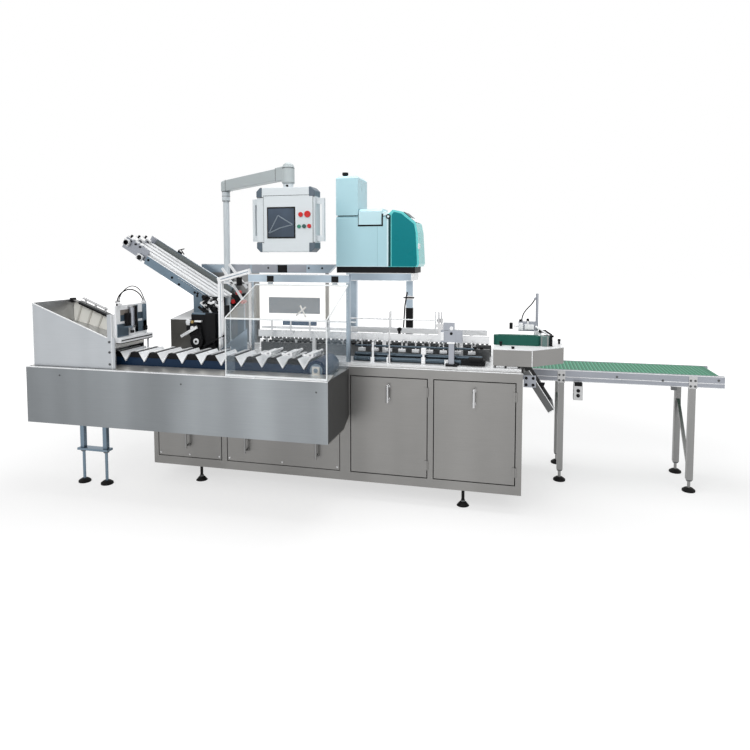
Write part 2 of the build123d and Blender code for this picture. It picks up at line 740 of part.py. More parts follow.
def hopper():
    """Sloping hopper at the left end, where bags are loaded."""
    left = HOPPER_LEFT
    right = left + HOPPER_LENGTH
    front = HOPPER_FRONT
    rear = front + HOPPER_WIDTH
    base = TROUGH_RIM - SHEET - TRAY_DROP
    low_top = HOPPER_TOP - HOPPER_FALL
    side = [(left, base), (left, HOPPER_TOP), (right, low_top), (right, base)]
    post = block(right, right + CORNER_POST, front, front + CORNER_POST, base, CORNER_POST_TOP)
    post += block(right, right + CORNER_FOOT_WIDTH, front, front + SHEET, base, low_top)
    side_rear = profile_y(side, rear - SHEET, rear)
    strip = [
        (left, HOPPER_TOP),
        (right, low_top),
        (right, low_top + SHEET),
        (left, HOPPER_TOP + SHEET),
    ]
    side_rear += profile_y(strip, rear - COVER_STRIP, rear)
    inner_left = left + SHEET
    floor_outline = [
        (inner_left, HOPPER_TOP - HOPPER_FLOOR_DROP),
        (right, HOPPER_FLOOR_END),
        (right, HOPPER_FLOOR_END - SHEET),
        (inner_left, HOPPER_TOP - HOPPER_FLOOR_DROP - SHEET),
    ]
    return {
        "hopper_front_panel": profile_y(side, front, front + SHEET) + post,
        "hopper_rear_panel": side_rear,
        "hopper_left_wall": block(left, left + SHEET, front + SHEET, rear - COVER_STRIP, base, HOPPER_TOP),
        "hopper_floor": profile_y(floor_outline, front + SHEET, rear - SHEET),
    }


def pick_unit():
    """Pick-off frame across the hopper's mouth, its air cylinder and hoses."""
    left = HOPPER_LEFT + HOPPER_LENGTH + CORNER_POST
    right = left + PICK_PLATE
    front = HOPPER_FRONT + CORNER_POST
    rear = HOPPER_FRONT + PICK_DEPTH
    plate_rear = rear - PICK_REAR_INSET
    window_low = (PICK_BOTTOM + PICK_TOP) / 2
    frame = block(left, right, front, plate_rear, PICK_BOTTOM, PICK_TOP)
    near = front + PICK_BORDER
    far = plate_rear - PICK_BORDER
    frame -= block(left - 1, right + 1, near, near + NEAR_WINDOW, window_low, PICK_TOP - PICK_HEAD_BAR)
    frame -= block(left - 1, right + 1, far - FAR_WINDOW, far, window_low, PICK_TOP - 2 * PICK_HEAD_BAR)
    strip_bottom = PICK_BOTTOM - CHUTE_STRIP
    frame += block(left, right + CHUTE_STRIP, front, rear, strip_bottom, PICK_BOTTOM)
    base = TROUGH_RIM - SHEET - TRAY_DROP
    frame += block(left, right, rear - PICK_LEG, rear, base, strip_bottom)
    for y in (front + MANIFOLD_INSET, plate_rear - MANIFOLD_INSET - MANIFOLD_LENGTH):
        manifold_top = PICK_TOP + MANIFOLD_HEIGHT
        frame += block(left, left + MANIFOLD_WIDTH, y, y + MANIFOLD_LENGTH, PICK_TOP, manifold_top)
    hoses = {
        "pick_hose_lower": (PICK_HOSE_LOWER, HOSE_RADIUS),
        "pick_hose_upper": (PICK_HOSE_UPPER, THIN_HOSE_RADIUS),
    }
    nodes = {}
    for name, (points, radius) in hoses.items():
        nodes[name] = hose(points, radius)
        frame += hose_fitting(points[0], points[1], radius)
        frame += hose_fitting(points[-1], points[-2], radius)
    cylinder_x = right + CYLINDER_RADIUS
    cylinder_y = front + CYLINDER_SHARE * (plate_rear - front)
    cylinder_top = CYLINDER_BOTTOM + CYLINDER_LENGTH
    rod_low = CYLINDER_BOTTOM - CYLINDER_ROD_LENGTH
    cylinder = rod_z(cylinder_x, cylinder_y, CYLINDER_BOTTOM, cylinder_top, CYLINDER_RADIUS)
    cylinder += rod_z(cylinder_x, cylinder_y, rod_low, CYLINDER_BOTTOM, CYLINDER_ROD_RADIUS)
    nodes["pick_frame"] = frame
    nodes["pick_cylinder"] = cylinder
    return nodes


def magazine():
    """Inclined carton magazine: side plates, rails, head with cross shafts, and drive housing."""
    tilt = Pos(MAGAZINE_LOW_X, 0, MAGAZINE_LOW_Z) * Rot(0, MAGAZINE_TILT, 0)
    near = MAGAZINE_FRONT
    far = near + MAGAZINE_WIDTH
    near_inner = near + MAGAZINE_PLATE
    far_inner = far - MAGAZINE_PLATE
    start = -MAGAZINE_LENGTH
    near_bottom = -NEAR_SIDE_DROP - NEAR_SIDE_DEPTH
    far_bottom = FAR_SIDE_LIFT - FAR_SIDE_DEPTH
    near_side = tilt * block(-NEAR_SIDE_LENGTH, 0, near, near_inner, near_bottom, -NEAR_SIDE_DROP)
    far_side = tilt * block(start, 0, far_inner, far, far_bottom, FAR_SIDE_LIFT)

    drive_right = DRIVE_LEFT + DRIVE_WIDTH
    drive_rear = DRIVE_FRONT + DRIVE_DEPTH
    roof = DRIVE_TOP + DRIVE_ROOF_RISE
    base = BED_TOP + BED_PLATE
    housing_outline = [(DRIVE_FRONT, base), (DRIVE_FRONT, DRIVE_TOP), (drive_rear, roof), (drive_rear, base)]
    housing = profile_x(housing_outline, DRIVE_LEFT, drive_right)
    roof_near = DRIVE_TOP + DRIVE_ROOF_RISE * (near_inner - DRIVE_FRONT) / DRIVE_DEPTH
    x1 = drive_right - PEDESTAL_INSET
    x0 = x1 - PEDESTAL_WIDTH
    near_side += block(x0, x1, near, near_inner, roof_near, MAGAZINE_LOW_Z - NEAR_SIDE_DROP * 2 / 3)
    far_side += block(x0, x1, far_inner, far, roof, MAGAZINE_LOW_Z + FAR_SIDE_LIFT)

    grid = []
    inner = far_inner - near_inner
    for share in MAGAZINE_TIES:
        u = start * share
        grid.append(block(u, u + TIE_WIDTH, near_inner, far_inner, -RAIL_DROP - TIE_DEPTH, -RAIL_DROP))
    for share in RAIL_PLACES:
        y = near_inner + share * inner
        grid.append(block(start, RAIL_OVERRUN, y, y + RAIL_WIDTH, -RAIL_DROP, RAIL_DEPTH - RAIL_DROP))
    rails = grid[0]
    for bar in grid[1:]:
        rails += bar
    end = start - CHEEK_REACH
    cheek_low = -CHEEK_DEPTH - CHEEK_REACH / 10
    head = block(end, -NEAR_SIDE_LENGTH, near, near_inner, cheek_low, cheek_low + CHEEK_DEPTH)
    head += block(end, start, far_inner, far, far_bottom, FAR_SIDE_LIFT)
    shaft_u = start - CHEEK_REACH / 2
    overhang = HEAD_SHAFT_OVERHANG
    head += rod_y(shaft_u, near - overhang, far + overhang, -HEAD_SHAFT_DROP, HEAD_SHAFT_RADIUS)
    head += rod_y(-LOWER_SHAFT_PLACE, near - overhang, far_inner, -LOWER_SHAFT_DROP, HEAD_SHAFT_RADIUS)
    return {
        "magazine_drive_housing": housing,
        "magazine_sides": Compound([near_side, far_side]),
        "magazine_rails": tilt * rails,
        "magazine_head": tilt * head,
    }


def opener():
    """Carton opener: drive block with pulleys, divider, post with carrier bar, and the vacuum rotor."""
    base = BED_TOP + BED_PLATE
    right = OPENER_LEFT + OPENER_WIDTH
    rear = OPENER_FRONT + OPENER_DEPTH
    drive = block(OPENER_LEFT, right, OPENER_FRONT, rear, base, OPENER_TOP)
    for across, rise in PULLEYS:
        x = OPENER_LEFT + across
        drive += rod_y(x, OPENER_FRONT - PULLEY_WIDTH, OPENER_FRONT, base + rise, PULLEY_RADIUS)
    half = FRONT_POST_SIZE / 2
    post = block(
        FRONT_POST_X - half, FRONT_POST_X + half, FRONT_POST_Y - half, FRONT_POST_Y + half, base, FRONT_POST_TOP
    )
    bar = Pos(FRONT_POST_X, FRONT_POST_Y, FRONT_POST_TOP) * Rot(0, -CARRIER_TILT, 0)
    post += bar * block(-half, CARRIER_LENGTH, -half, half, 0, CARRIER_HEIGHT)
    rotor = rod_y(ROTOR_X, ROTOR_Y - ROTOR_HUB, ROTOR_Y + ROTOR_HUB, ROTOR_Z, ROTOR_RADIUS / 2)
    arm = ROTOR_ARM_HALF
    for index in range(ROTOR_ARMS):
        turn = Pos(ROTOR_X, ROTOR_Y, ROTOR_Z) * Rot(0, 90 + index * 360 / ROTOR_ARMS, 0)
        rotor += turn * block(0, ROTOR_RADIUS, -arm, arm, -arm, arm)
    bearing_y = ROTOR_Y + ROTOR_HUB + RUN_CLEARANCE
    bearing_rear = bearing_y + BEARING_DEPTH
    half = BEARING_WIDTH / 2
    bearing = block(ROTOR_X - half, ROTOR_X + half, bearing_y, bearing_rear, base, ROTOR_Z + half)
    bearing -= rod_y(ROTOR_X, bearing_y - 1, bearing_rear + 1, ROTOR_Z, ROTOR_SHAFT_RADIUS + ROTOR_SHAFT_FIT)
    rotor += rod_y(ROTOR_X, ROTOR_Y, bearing_rear + BEARING_DEPTH / 2, ROTOR_Z, ROTOR_SHAFT_RADIUS)
    bucket_top = DRUM_AXIS_Z + DRUM_RADIUS + BUCKET_PROUD
    nose = bucket_top + RUN_CLEARANCE
    divider_rear = DIVIDER_FOOT + DIVIDER_DEPTH
    outline = [
        (DIVIDER_FRONT, nose),
        (divider_rear, DIVIDER_TOP),
        (divider_rear, base),
        (DIVIDER_FOOT, base),
        (DIVIDER_FOOT, nose),
    ]
    divider = profile_x(outline, DIVIDER_X, DIVIDER_X + SHEET)
    return {
        "opener_drive": Compound([drive, bearing, divider]),
        "opener_post": post,
        "vacuum_rotor": rotor,
    }


def guard():
    """Clear guard: header and posts, fixed sides, and a lid hinged at the header."""
    right = GUARD_LEFT + GUARD_WIDTH
    header_y = GUARD_HINGE_Y + HINGE_RADIUS
    header_z = GUARD_HINGE_Z + HINGE_RADIUS
    rear_y = header_y + HEADER_DEPTH
    header = block(HEADER_LEFT, right, header_y, rear_y, header_z, header_z + HEADER_HEIGHT)
    base = BED_TOP + BED_PLATE
    for x in (HEADER_LEFT, right - GUARD_POST):
        header += block(x, x + GUARD_POST, BED_PLATE_SETBACK, BED_PLATE_SETBACK + GUARD_POST, base, header_z)
    drop = GUARD_HINGE_Z - GUARD_FOLD_Z
    run = GUARD_HINGE_Y - GUARD_FRONT
    slope = drop / run
    top_start = GUARD_HINGE_Y
    start_z = GUARD_HINGE_Z
    hem = TROUGH_RIM + GUARD_HEM
    outline = [
        (top_start, start_z),
        (GUARD_FRONT, GUARD_FOLD_Z),
        (GUARD_FRONT, hem),
        (GUARD_FRONT + GUARD_SHEET, hem),
        (GUARD_FRONT + GUARD_SHEET, GUARD_FOLD_Z - GUARD_SHEET),
        (top_start, start_z - GUARD_SHEET * 1.1),
    ]
    cut = block(GUARD_LEFT, right, GUARD_FRONT - 1, GUARD_FRONT + GUARD_SHEET, 0, GUARD_FOLD_Z - GUARD_SHEET)
    lid = profile_x(outline, GUARD_LEFT, right)
    lid_front = lid & cut
    lid_top = lid - cut
    for share in HINGE_PLACES:
        x0 = GUARD_LEFT + share * GUARD_WIDTH - HINGE_LEAF / 2
        x1 = x0 + HINGE_LEAF
        lid_top += rod_x(x0, x1, GUARD_HINGE_Y, GUARD_HINGE_Z, HINGE_RADIUS - HINGE_SEAT)
        header += block(x0, x1, header_y, header_y + HINGE_LEAF_PLATE, GUARD_HINGE_Z - HINGE_RADIUS, header_z)
    inset = GUARD_SHEET + GUARD_SIDE_GAP
    base = TROUGH_RIM - SHEET - TRAY_DROP
    side_front = RIM_LIP - TROUGH_DEPTH
    side = [
        (side_front, base),
        (side_front, GUARD_FOLD_Z - inset * 1.2),
        (-GUARD_SIDE_GAP, GUARD_HINGE_Z - slope * (GUARD_HINGE_Y + GUARD_SIDE_GAP) - inset * 1.2),
        (-GUARD_SIDE_GAP, base),
    ]
    left_side = profile_x(side, GUARD_LEFT, GUARD_LEFT + GUARD_SHEET)
    left_side -= block(GUARD_LEFT - 1, right, BELT_FRONT - TUNNEL_SIDE, 0, 0, TUNNEL_TOP)
    sides = [left_side, profile_x(side, right - GUARD_SHEET, right)]
    return {
        "guard_frame": header,
        "guard_sides": Compound(sides),
        "guard_lid_top": lid_top,
        "guard_lid_front": lid_front,
    }


def rear_duct():
    """Stainless duct along the rear with the sheet behind the magazine."""
    bottom = DUCT_TOP - DUCT_HEIGHT
    outline = [
        (DUCT_LEFT, bottom),
        (DUCT_RIGHT - DUCT_HEIGHT, bottom),
        (DUCT_RIGHT, DUCT_TOP),
        (DUCT_LEFT, DUCT_TOP),
    ]
    duct = profile_y(outline, DUCT_FRONT, DUCT_FRONT + DUCT_DEPTH)
    base = BED_TOP + BED_PLATE
    left = max(DUCT_LEFT, BED_PLATE_MARGIN)
    sheet = block(left, left + REAR_SHEET_WIDTH, DUCT_FRONT, DUCT_FRONT + SHEET, base, bottom)
    post_x = DUCT_RIGHT - DUCT_HEIGHT - GUARD_POST
    post = block(post_x, post_x + GUARD_POST, DUCT_FRONT, DUCT_FRONT + GUARD_POST, base, bottom)
    return {"rear_duct": duct, "rear_supports": Compound([sheet, post])}


def operator_panel():
    """Post, swinging arm and the hanging operator panel."""
    base = BED_TOP + BED_PLATE
    half = ARM_SECTION / 2
    collar_top = ARM_HEIGHT - half - PANEL_GAP
    post = rod_z(ARM_POST_X, ARM_POST_Y, base, collar_top, ARM_POST_RADIUS)
    post += rod_z(ARM_POST_X, ARM_POST_Y, collar_top - ARM_COLLAR_HEIGHT, collar_top, ARM_COLLAR_RADIUS)
    post += rod_z(ARM_POST_X, ARM_POST_Y, base, base + ARM_FLANGE_HEIGHT, ARM_POST_RADIUS * 1.5)
    place = Pos(ARM_POST_X, ARM_POST_Y, ARM_HEIGHT) * Rot(0, 0, ARM_REST_ANGLE)
    arm = place * block(0, ARM_REACH - HEAD_RADIUS / 2, -ARM_WIDTH / 2, ARM_WIDTH / 2, -half, half)
    arm += Pos(ARM_POST_X, ARM_POST_Y, ARM_HEIGHT) * Cylinder(ARM_KNUCKLE_RADIUS, ARM_SECTION)
    head_x = ARM_POST_X + ARM_REACH * cos(radians(ARM_REST_ANGLE))
    head_y = ARM_POST_Y + ARM_REACH * sin(radians(ARM_REST_ANGLE))
    head_low = ARM_HEIGHT - HEAD_HEIGHT / 2
    arm += rod_z(head_x, head_y, head_low, head_low + HEAD_HEIGHT, HEAD_RADIUS)
    neck_bottom = head_low - PANEL_GAP
    panel_top = neck_bottom - PANEL_NECK
    x0 = head_x - PANEL_WIDTH / 2
    x1 = head_x + PANEL_WIDTH / 2
    y0 = head_y - PANEL_DEPTH / 2
    y1 = head_y + PANEL_DEPTH / 2
    case = block(x0, x1, y0, y1, PANEL_BOTTOM, panel_top)
    case = chamfer(case.edges().filter_by(Axis.Y), PANEL_CORNER)
    case += rod_z(head_x, head_y, panel_top - PANEL_CORNER, neck_bottom, HEAD_RADIUS * 0.8)
    case += block(
        x0 + PANEL_FRAME,
        x1 - PANEL_FRAME,
        y0 - PANEL_FACE_PROUD,
        y0,
        PANEL_BOTTOM + PANEL_FRAME,
        panel_top - PANEL_FRAME,
    )
    grip_low = (PANEL_BOTTOM + panel_top - GRIP_HEIGHT) / 2
    grip_high = grip_low + GRIP_HEIGHT
    grip_front = head_y - GRIP_DEPTH / 2
    grip_rear = head_y + GRIP_DEPTH / 2
    for inner, outer in ((x0, x0 - GRIP_REACH), (x1, x1 + GRIP_REACH)):
        side = 1 if outer > inner else -1
        bar = sorted((outer, outer - side * GRIP_BAR))
        case += block(*bar, grip_front, grip_rear, grip_low, grip_high)
        for low in (grip_low, grip_high - GRIP_BRACKET):
            case += block(*sorted((inner, outer)), grip_front, grip_rear, low, low + GRIP_BRACKET)
    return {"arm_post": post, "panel_arm": arm, "operator_panel": case}


def glue_unit():
    """Hot-melt glue unit with tank, tower, end cover and tank lid, on its stand."""
    left = GLUE_LEFT
    front = GLUE_FRONT
    rear = front + GLUE_DEPTH
    base_top = GLUE_BASE_Z + GLUE_BASE_HEIGHT
    tank_right = left + TANK_LENGTH
    tank_top = base_top + TANK_HEIGHT
    inset = GLUE_BASE_INSET
    base = block(left, left + GLUE_BASE_LENGTH, front + inset, rear - inset, GLUE_BASE_Z, base_top)
    tank = block(left, tank_right, front, rear, base_top, tank_top)
    tank = chamfer(tank.edges().filter_by(Axis.X).group_by(Axis.Z)[-1], TANK_CHAMFER)
    lid_left = left + TOWER_LENGTH + LID_GAP
    lid_right = lid_left + LID_LENGTH
    lid_bottom = tank_top + LID_GAP
    lid_top = lid_bottom + LID_HEIGHT
    lid_rear = rear - LID_BACK_INSET
    apron = tank_top - LID_APRON
    recess = LID_THICKNESS + LID_GAP
    tank -= block(
        lid_left - LID_GAP, lid_right + LID_GAP, front - 1, front + recess, apron - LID_GAP, tank_top + 1
    )
    lid_outline = [
        (front, apron),
        (front, lid_top - LID_SHOULDER),
        (front + LID_CROWN, lid_top),
        (lid_rear, lid_top),
        (lid_rear, lid_bottom),
        (front + LID_THICKNESS, lid_bottom),
        (front + LID_THICKNESS, apron),
    ]
    lid = profile_x(lid_outline, lid_left, lid_right)
    pin_y = lid_rear + LID_GAP
    pin_z = tank_top + LID_PIN_RADIUS + HINGE_SEAT
    lid += rod_x(lid_left + LID_EAR, lid_right - LID_EAR, pin_y, pin_z, LID_PIN_RADIUS)
    ear_width = LID_EAR - HINGE_SEAT
    for x in (lid_left, lid_right - ear_width):
        tank += block(
            x, x + ear_width, pin_y - 1, pin_y + LID_PIN_RADIUS, tank_top - LID_EAR_ROOT, pin_z + LID_PIN_RADIUS
        )
    tower_right = left + TOWER_LENGTH
    tower_top = tank_top + TOWER_HEIGHT
    neck = TOWER_NECK_INSET
    tower = block(left, tower_right, front, rear, lid_bottom, tower_top)
    tower = chamfer(tower.edges().group_by(Axis.Z)[-1], TOWER_CHAMFER)
    tower += block(left + neck, tower_right - neck, front + neck, rear - neck, tank_top, lid_bottom)
    tower += rod_z(left + KNOB_INSET, front + KNOB_SETBACK, tower_top, tower_top + KNOB_HEIGHT, KNOB_RADIUS)
    cover_right = tank_right + COVER_LENGTH
    cover_top = tank_top + COVER_RISE
    outline = [
        (tank_right, base_top),
        (tank_right, cover_top - COVER_SHOULDER),
        (tank_right + COVER_SHOULDER, cover_top),
        (tank_right + COVER_CROWN, cover_top - COVER_CROWN_FALL),
        (cover_right - COVER_NOSE, cover_top - COVER_NOSE_FALL),
        (cover_right - COVER_TAPER, cover_top - COVER_SIDE_FALL),
        (cover_right, base_top + COVER_FOOT),
        (cover_right - COVER_TAPER, base_top),
    ]
    cover = profile_y(outline, front, rear)
    cover = fillet(cover.edges().filter_by(Axis.Y).sort_by(Axis.X)[2:6], COVER_TAPER)
    shelf_low = GLUE_BASE_Z - SHELF_HEIGHT
    shelf = block(SHELF_LEFT, SHELF_LEFT + SHELF_LENGTH, front, rear, shelf_low, GLUE_BASE_Z)
    bed = BED_TOP + BED_PLATE
    middle = (front + rear) / 2
    half = STAND_POST / 2
    for x in (SHELF_LEFT + half, SHELF_LEFT + SHELF_LENGTH - STAND_POST_INSET):
        shelf += block(x - half, x + half, middle - half, middle + half, bed, shelf_low)
    return {
        "glue_stand": shelf,
        "glue_base": base,
        "glue_tank": tank + tower,
        "glue_cover": cover,
        "glue_tank_lid": lid,
    }


def carton_line():
    """Lugged chain beds, guide beam, top guide and flap guide tubes along the bed plate."""
    base = BED_TOP + BED_PLATE
    beam_rear = GUIDE_BEAM_Y + GUIDE_BEAM_DEPTH
    beam_top = GUIDE_BEAM_Z + GUIDE_BEAM_HEIGHT
    beam = block(LINE_LEFT, LINE_RIGHT, GUIDE_BEAM_Y, beam_rear, GUIDE_BEAM_Z, beam_top)
    for share in BEAM_FEET:
        x = LINE_LEFT + share * (LINE_RIGHT - LINE_LEFT)
        beam += block(x, x + BEAM_FOOT, GUIDE_BEAM_Y, beam_rear, base, GUIDE_BEAM_Z)
    beds = []
    lugs = []
    near_bed = beam_rear + CHAIN_GAP
    far_bed = near_bed + CARTON_LANE
    for y in (near_bed, far_bed):
        beds.append(block(LINE_LEFT, LINE_RIGHT, y, y + CHAIN_BED_WIDTH, base, CHAIN_BED_TOP))
        lug_front = y + LUG_INSET
        lug_rear = y + CHAIN_BED_WIDTH - LUG_INSET
        for index in range(int((LINE_RIGHT - LINE_LEFT) / LUG_PITCH)):
            x = LINE_LEFT + LUG_START + index * LUG_PITCH
            lug_top = CHAIN_BED_TOP + LUG_HEIGHT
            lugs.append(block(x, x + LUG_LENGTH, lug_front, lug_rear, CHAIN_BED_TOP, lug_top))
    guide_front = far_bed + CHAIN_BED_WIDTH + TOP_GUIDE_GAP
    guide_rear = guide_front + TOP_GUIDE_DEPTH
    guide_top = TOP_GUIDE_Z + TOP_GUIDE_HEIGHT
    guide_right = LINE_RIGHT - LINE_END_GAP
    guide = block(TOP_GUIDE_LEFT, guide_right, guide_front, guide_rear, TOP_GUIDE_Z, guide_top)
    for share in BEAM_FEET:
        x = TOP_GUIDE_LEFT + share * (guide_right - TOP_GUIDE_LEFT)
        guide += block(x, x + BEAM_FOOT, guide_front, guide_rear, base, TOP_GUIDE_Z)
    rod_y0 = (guide_front + guide_rear) / 2
    rod_height = guide_top + TOP_ROD_RISE
    guide += rod_x(TOP_GUIDE_LEFT, TOP_GUIDE_LEFT + TOP_ROD_LENGTH, rod_y0, rod_height, TOP_ROD_RADIUS)
    for share in TOP_ROD_POSTS:
        x = TOP_GUIDE_LEFT + share * TOP_ROD_LENGTH
        guide += rod_z(x, rod_y0, guide_top, rod_height + TOP_ROD_RISE, TOP_ROD_RADIUS)
    tubes = rod_x(TUBES_LEFT, TUBES_RIGHT, UPPER_TUBE_Y, UPPER_TUBE_Z, TUBE_RADIUS)
    tubes += rod_x(TUBES_LEFT, TUBES_RIGHT, LOWER_TUBE_Y, LOWER_TUBE_Z, TUBE_RADIUS)
    for share in TUBE_BRACKETS:
        x = TUBES_LEFT + share * (TUBES_RIGHT - TUBES_LEFT)
        tubes += block(x, x + TUBE_BRACKET, LOWER_TUBE_Y, UPPER_TUBE_Y + TUBE_RADIUS, base, LOWER_TUBE_Z)
        tubes += block(x, x + TUBE_BRACKET, UPPER_TUBE_Y, UPPER_TUBE_Y + TUBE_RADIUS, base, UPPER_TUBE_Z)
    return {
        "guide_beam": beam,
        "chain_beds": Compound(beds),
        "chain_lugs": Compound(lugs),
        "carton_top_guide": guide,
        "flap_tubes": tubes,
    }


def closing_unit():
    """Chamfered housing at the right end, the green press belt above it, the hose mast and sensor post."""
    left = CLOSER_LEFT
    knee = left + CLOSER_FACE
    right = knee + CLOSER_CHAMFER_X
    front = CLOSER_FRONT
    rear = front + CLOSER_DEPTH
    top = CLOSER_UNDERSIDE + CLOSER_HEIGHT
    plan = [(left, front), (knee, front), (right, front + CLOSER_CHAMFER_Y), (right, rear), (left, rear)]
    housing = profile_z(plan, CLOSER_UNDERSIDE, top)
    base = BED_TOP + BED_PLATE
    for across in CLOSER_LEGS:
        x = left + across
        for y in (front + CLOSER_LEG_INSET, rear - CLOSER_LEG_INSET):
            housing += block(x, x + CLOSER_LEG, y, y + CLOSER_LEG, base, CLOSER_UNDERSIDE)
    belt_left = left + PRESS_INSET
    belt_right = belt_left + PRESS_SPAN
    belt_front = PRESS_BELT_Y - PRESS_ROLLER
    belt_rear = PRESS_BELT_Y + PRESS_ROLLER
    belt_top = top + PRESS_HEIGHT
    belt = block(belt_left, belt_right, belt_front, belt_rear, top, belt_top)
    for x in (belt_left, belt_right):
        belt += rod_z(x, PRESS_BELT_Y, top, belt_top, PRESS_ROLLER)
    guard_left = belt_right + PRESS_ROLLER + PRESS_GUARD_GAP
    housing += block(guard_left, guard_left + PRESS_GUARD_LENGTH, belt_front, belt_rear, top, belt_top)
    mast = rod_z(MAST_X, MAST_Y, top, MAST_TOP, MAST_RADIUS)
    half = MAST_HEAD_DEPTH / 2
    head_top = MAST_HEAD_Z + MAST_HEAD_HEIGHT
    mast += block(MAST_X - MAST_HEAD_REACH, MAST_X, MAST_Y - half, MAST_Y + half, MAST_HEAD_Z, head_top)
    mast += hose_fitting(MAST_HOSE[0], MAST_HOSE[1], HOSE_RADIUS)
    mast += hose_fitting(MAST_HOSE[-1], MAST_HOSE[-2], HOSE_RADIUS)
    post_right = SENSOR_X + SENSOR_POST
    post_rear = SENSOR_Y + SENSOR_POST
    box_top = SENSOR_BOX_Z + SENSOR_BOX_HEIGHT
    sensor = block(SENSOR_X, post_right, SENSOR_Y, post_rear, base, SENSOR_TOP)
    sensor += block(
        SENSOR_X - SENSOR_BOX_WIDTH, post_right + SENSOR_BOX_WIDTH, SENSOR_Y, post_rear, SENSOR_BOX_Z, box_top
    )
    sensor += block(
        SENSOR_X - SENSOR_CAP_LEFT, post_right, SENSOR_Y, post_rear, SENSOR_TOP, SENSOR_TOP + SENSOR_CAP_HEIGHT
    )
    return {
        "closing_housing": housing,
        "press_belt": belt,
        "sensor_masts": Compound([mast, sensor]),
        "mast_hose": hose(MAST_HOSE, HOSE_RADIUS),
    }


def reject_chute():
    """Steep open chute under the closing unit, on the cabinet's right end."""
    place = Pos(CABINET_LENGTH, 0, REJECT_TOP) * Rot(0, REJECT_TILT, 0)
    rear = REJECT_Y + REJECT_WIDTH
    chute = place * block(0, REJECT_LENGTH, REJECT_Y, rear, 0, SHEET)
    for y in (REJECT_Y, rear - SHEET):
        chute += place * block(0, REJECT_LENGTH, y, y + SHEET, 0, REJECT_SIDE)
    keep = block(CABINET_LENGTH, CABINET_LENGTH + 2 * REJECT_LENGTH, REJECT_Y, rear, 0, BED_TOP)
    return {"reject_chute": chute & keep}


def outfeed():
    """Belt conveyor that takes the closed cartons away, on two end frames."""
    left = CABINET_LENGTH
    right = left + OUTFEED_LENGTH
    front = OUTFEED_FRONT
    rear = front + OUTFEED_WIDTH
    rail_bottom = OUTFEED_TOP - RAIL_HEIGHT
    rails = [
        block(left, right, front, front + RAIL_THICKNESS, rail_bottom, OUTFEED_TOP),
        block(left, right, rear - RAIL_THICKNESS, rear, rail_bottom, OUTFEED_TOP),
    ]
    belt_front = front + RAIL_THICKNESS + RUN_CLEARANCE
    belt_rear = rear - RAIL_THICKNESS - RUN_CLEARANCE
    axis_z = OUTFEED_TOP - OUTFEED_ROLLER - OUTFEED_BELT
    outer = OUTFEED_ROLLER + OUTFEED_BELT
    end = outer + RUN_CLEARANCE
    belt = block(left + end, right - end, belt_front, belt_rear, axis_z - outer, axis_z + outer)
    for x in (left + end, right - end):
        belt += rod_y(x, belt_front, belt_rear, axis_z, outer)
        belt += rod_y(x, front + RAIL_THICKNESS, rear - RAIL_THICKNESS, axis_z, OUTFEED_ROLLER * 0.4)
    frames = []
    half = LEG_SIZE / 2
    for x in (LEG_LEFT, LEG_LEFT + LEG_SPAN):
        legs = []
        for y in (front + half, rear - half):
            leg = block(x - half, x + half, y - half, y + half, LEG_FOOT_DROP, rail_bottom)
            legs.append(leg + levelling_foot(x, y, LEG_FOOT_DROP + FOOT_STUD_RADIUS))
        run = OUTFEED_WIDTH - LEG_SIZE
        rise = rail_bottom - BRACE_DROP
        brace = profile_x(
            [
                (front + half, BRACE_FOOT),
                (front + half + BRACE_WIDTH, BRACE_FOOT),
                (front + half + run, BRACE_FOOT + rise),
                (front + half + run - BRACE_WIDTH, BRACE_FOOT + rise),
            ],
            x - half / 2,
            x + half / 2,
        )
        frames.append(legs[0] + legs[1] + brace)
    switch = block(
        SWITCH_X,
        SWITCH_X + SWITCH_WIDTH,
        front - SWITCH_PROUD,
        front + RAIL_THICKNESS,
        rail_bottom - SWITCH_HEIGHT,
        rail_bottom,
    )
    return {
        "outfeed_rails": Compound(rails),
        "outfeed_belt": belt,
        "outfeed_frames": Compound(frames),
        "outfeed_switch": switch,
    }


def main():
    """Builds every sub-assembly and writes one STEP file for each node."""
    os.makedirs("parts", exist_ok=True)
    nodes = {}
    builders = (
        cabinet, trough, bucket_conveyor, hopper, pick_unit, magazine, opener, guard,
        rear_duct, operator_panel, glue_unit, carton_line, closing_unit, reject_chute, outfeed,
    )
    for build in builders:
        nodes.update(build())
    to_origin = Pos(-CENTRE_X, -CENTRE_Y, 0)
    for name, shape in nodes.items():
        export_step(to_origin * shape, f"parts/{name}.step")
    print(len(nodes), "nodes")


main()
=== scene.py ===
import logging
import math
from collections.abc import Sequence
from dataclasses import dataclass
from enum import Enum

import bmesh
import bpy
from mathutils import Matrix, Vector


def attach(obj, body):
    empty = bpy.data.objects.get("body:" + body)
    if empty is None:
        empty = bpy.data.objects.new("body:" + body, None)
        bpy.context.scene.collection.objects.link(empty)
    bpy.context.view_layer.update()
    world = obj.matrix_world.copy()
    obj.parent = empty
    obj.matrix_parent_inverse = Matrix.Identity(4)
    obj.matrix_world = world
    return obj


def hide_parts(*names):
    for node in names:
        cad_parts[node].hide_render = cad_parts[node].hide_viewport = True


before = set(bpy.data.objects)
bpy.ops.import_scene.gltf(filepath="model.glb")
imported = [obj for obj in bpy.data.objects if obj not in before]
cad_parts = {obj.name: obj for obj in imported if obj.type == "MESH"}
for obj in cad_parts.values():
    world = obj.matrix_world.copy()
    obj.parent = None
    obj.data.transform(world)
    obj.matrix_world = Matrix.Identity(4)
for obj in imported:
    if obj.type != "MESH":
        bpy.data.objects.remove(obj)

LOG = logging.getLogger("cartoner")
MACHINE = "machine"
MIDDLE_X = 1590.5
MIDDLE_Y = 324.0
PROUD = 1.2

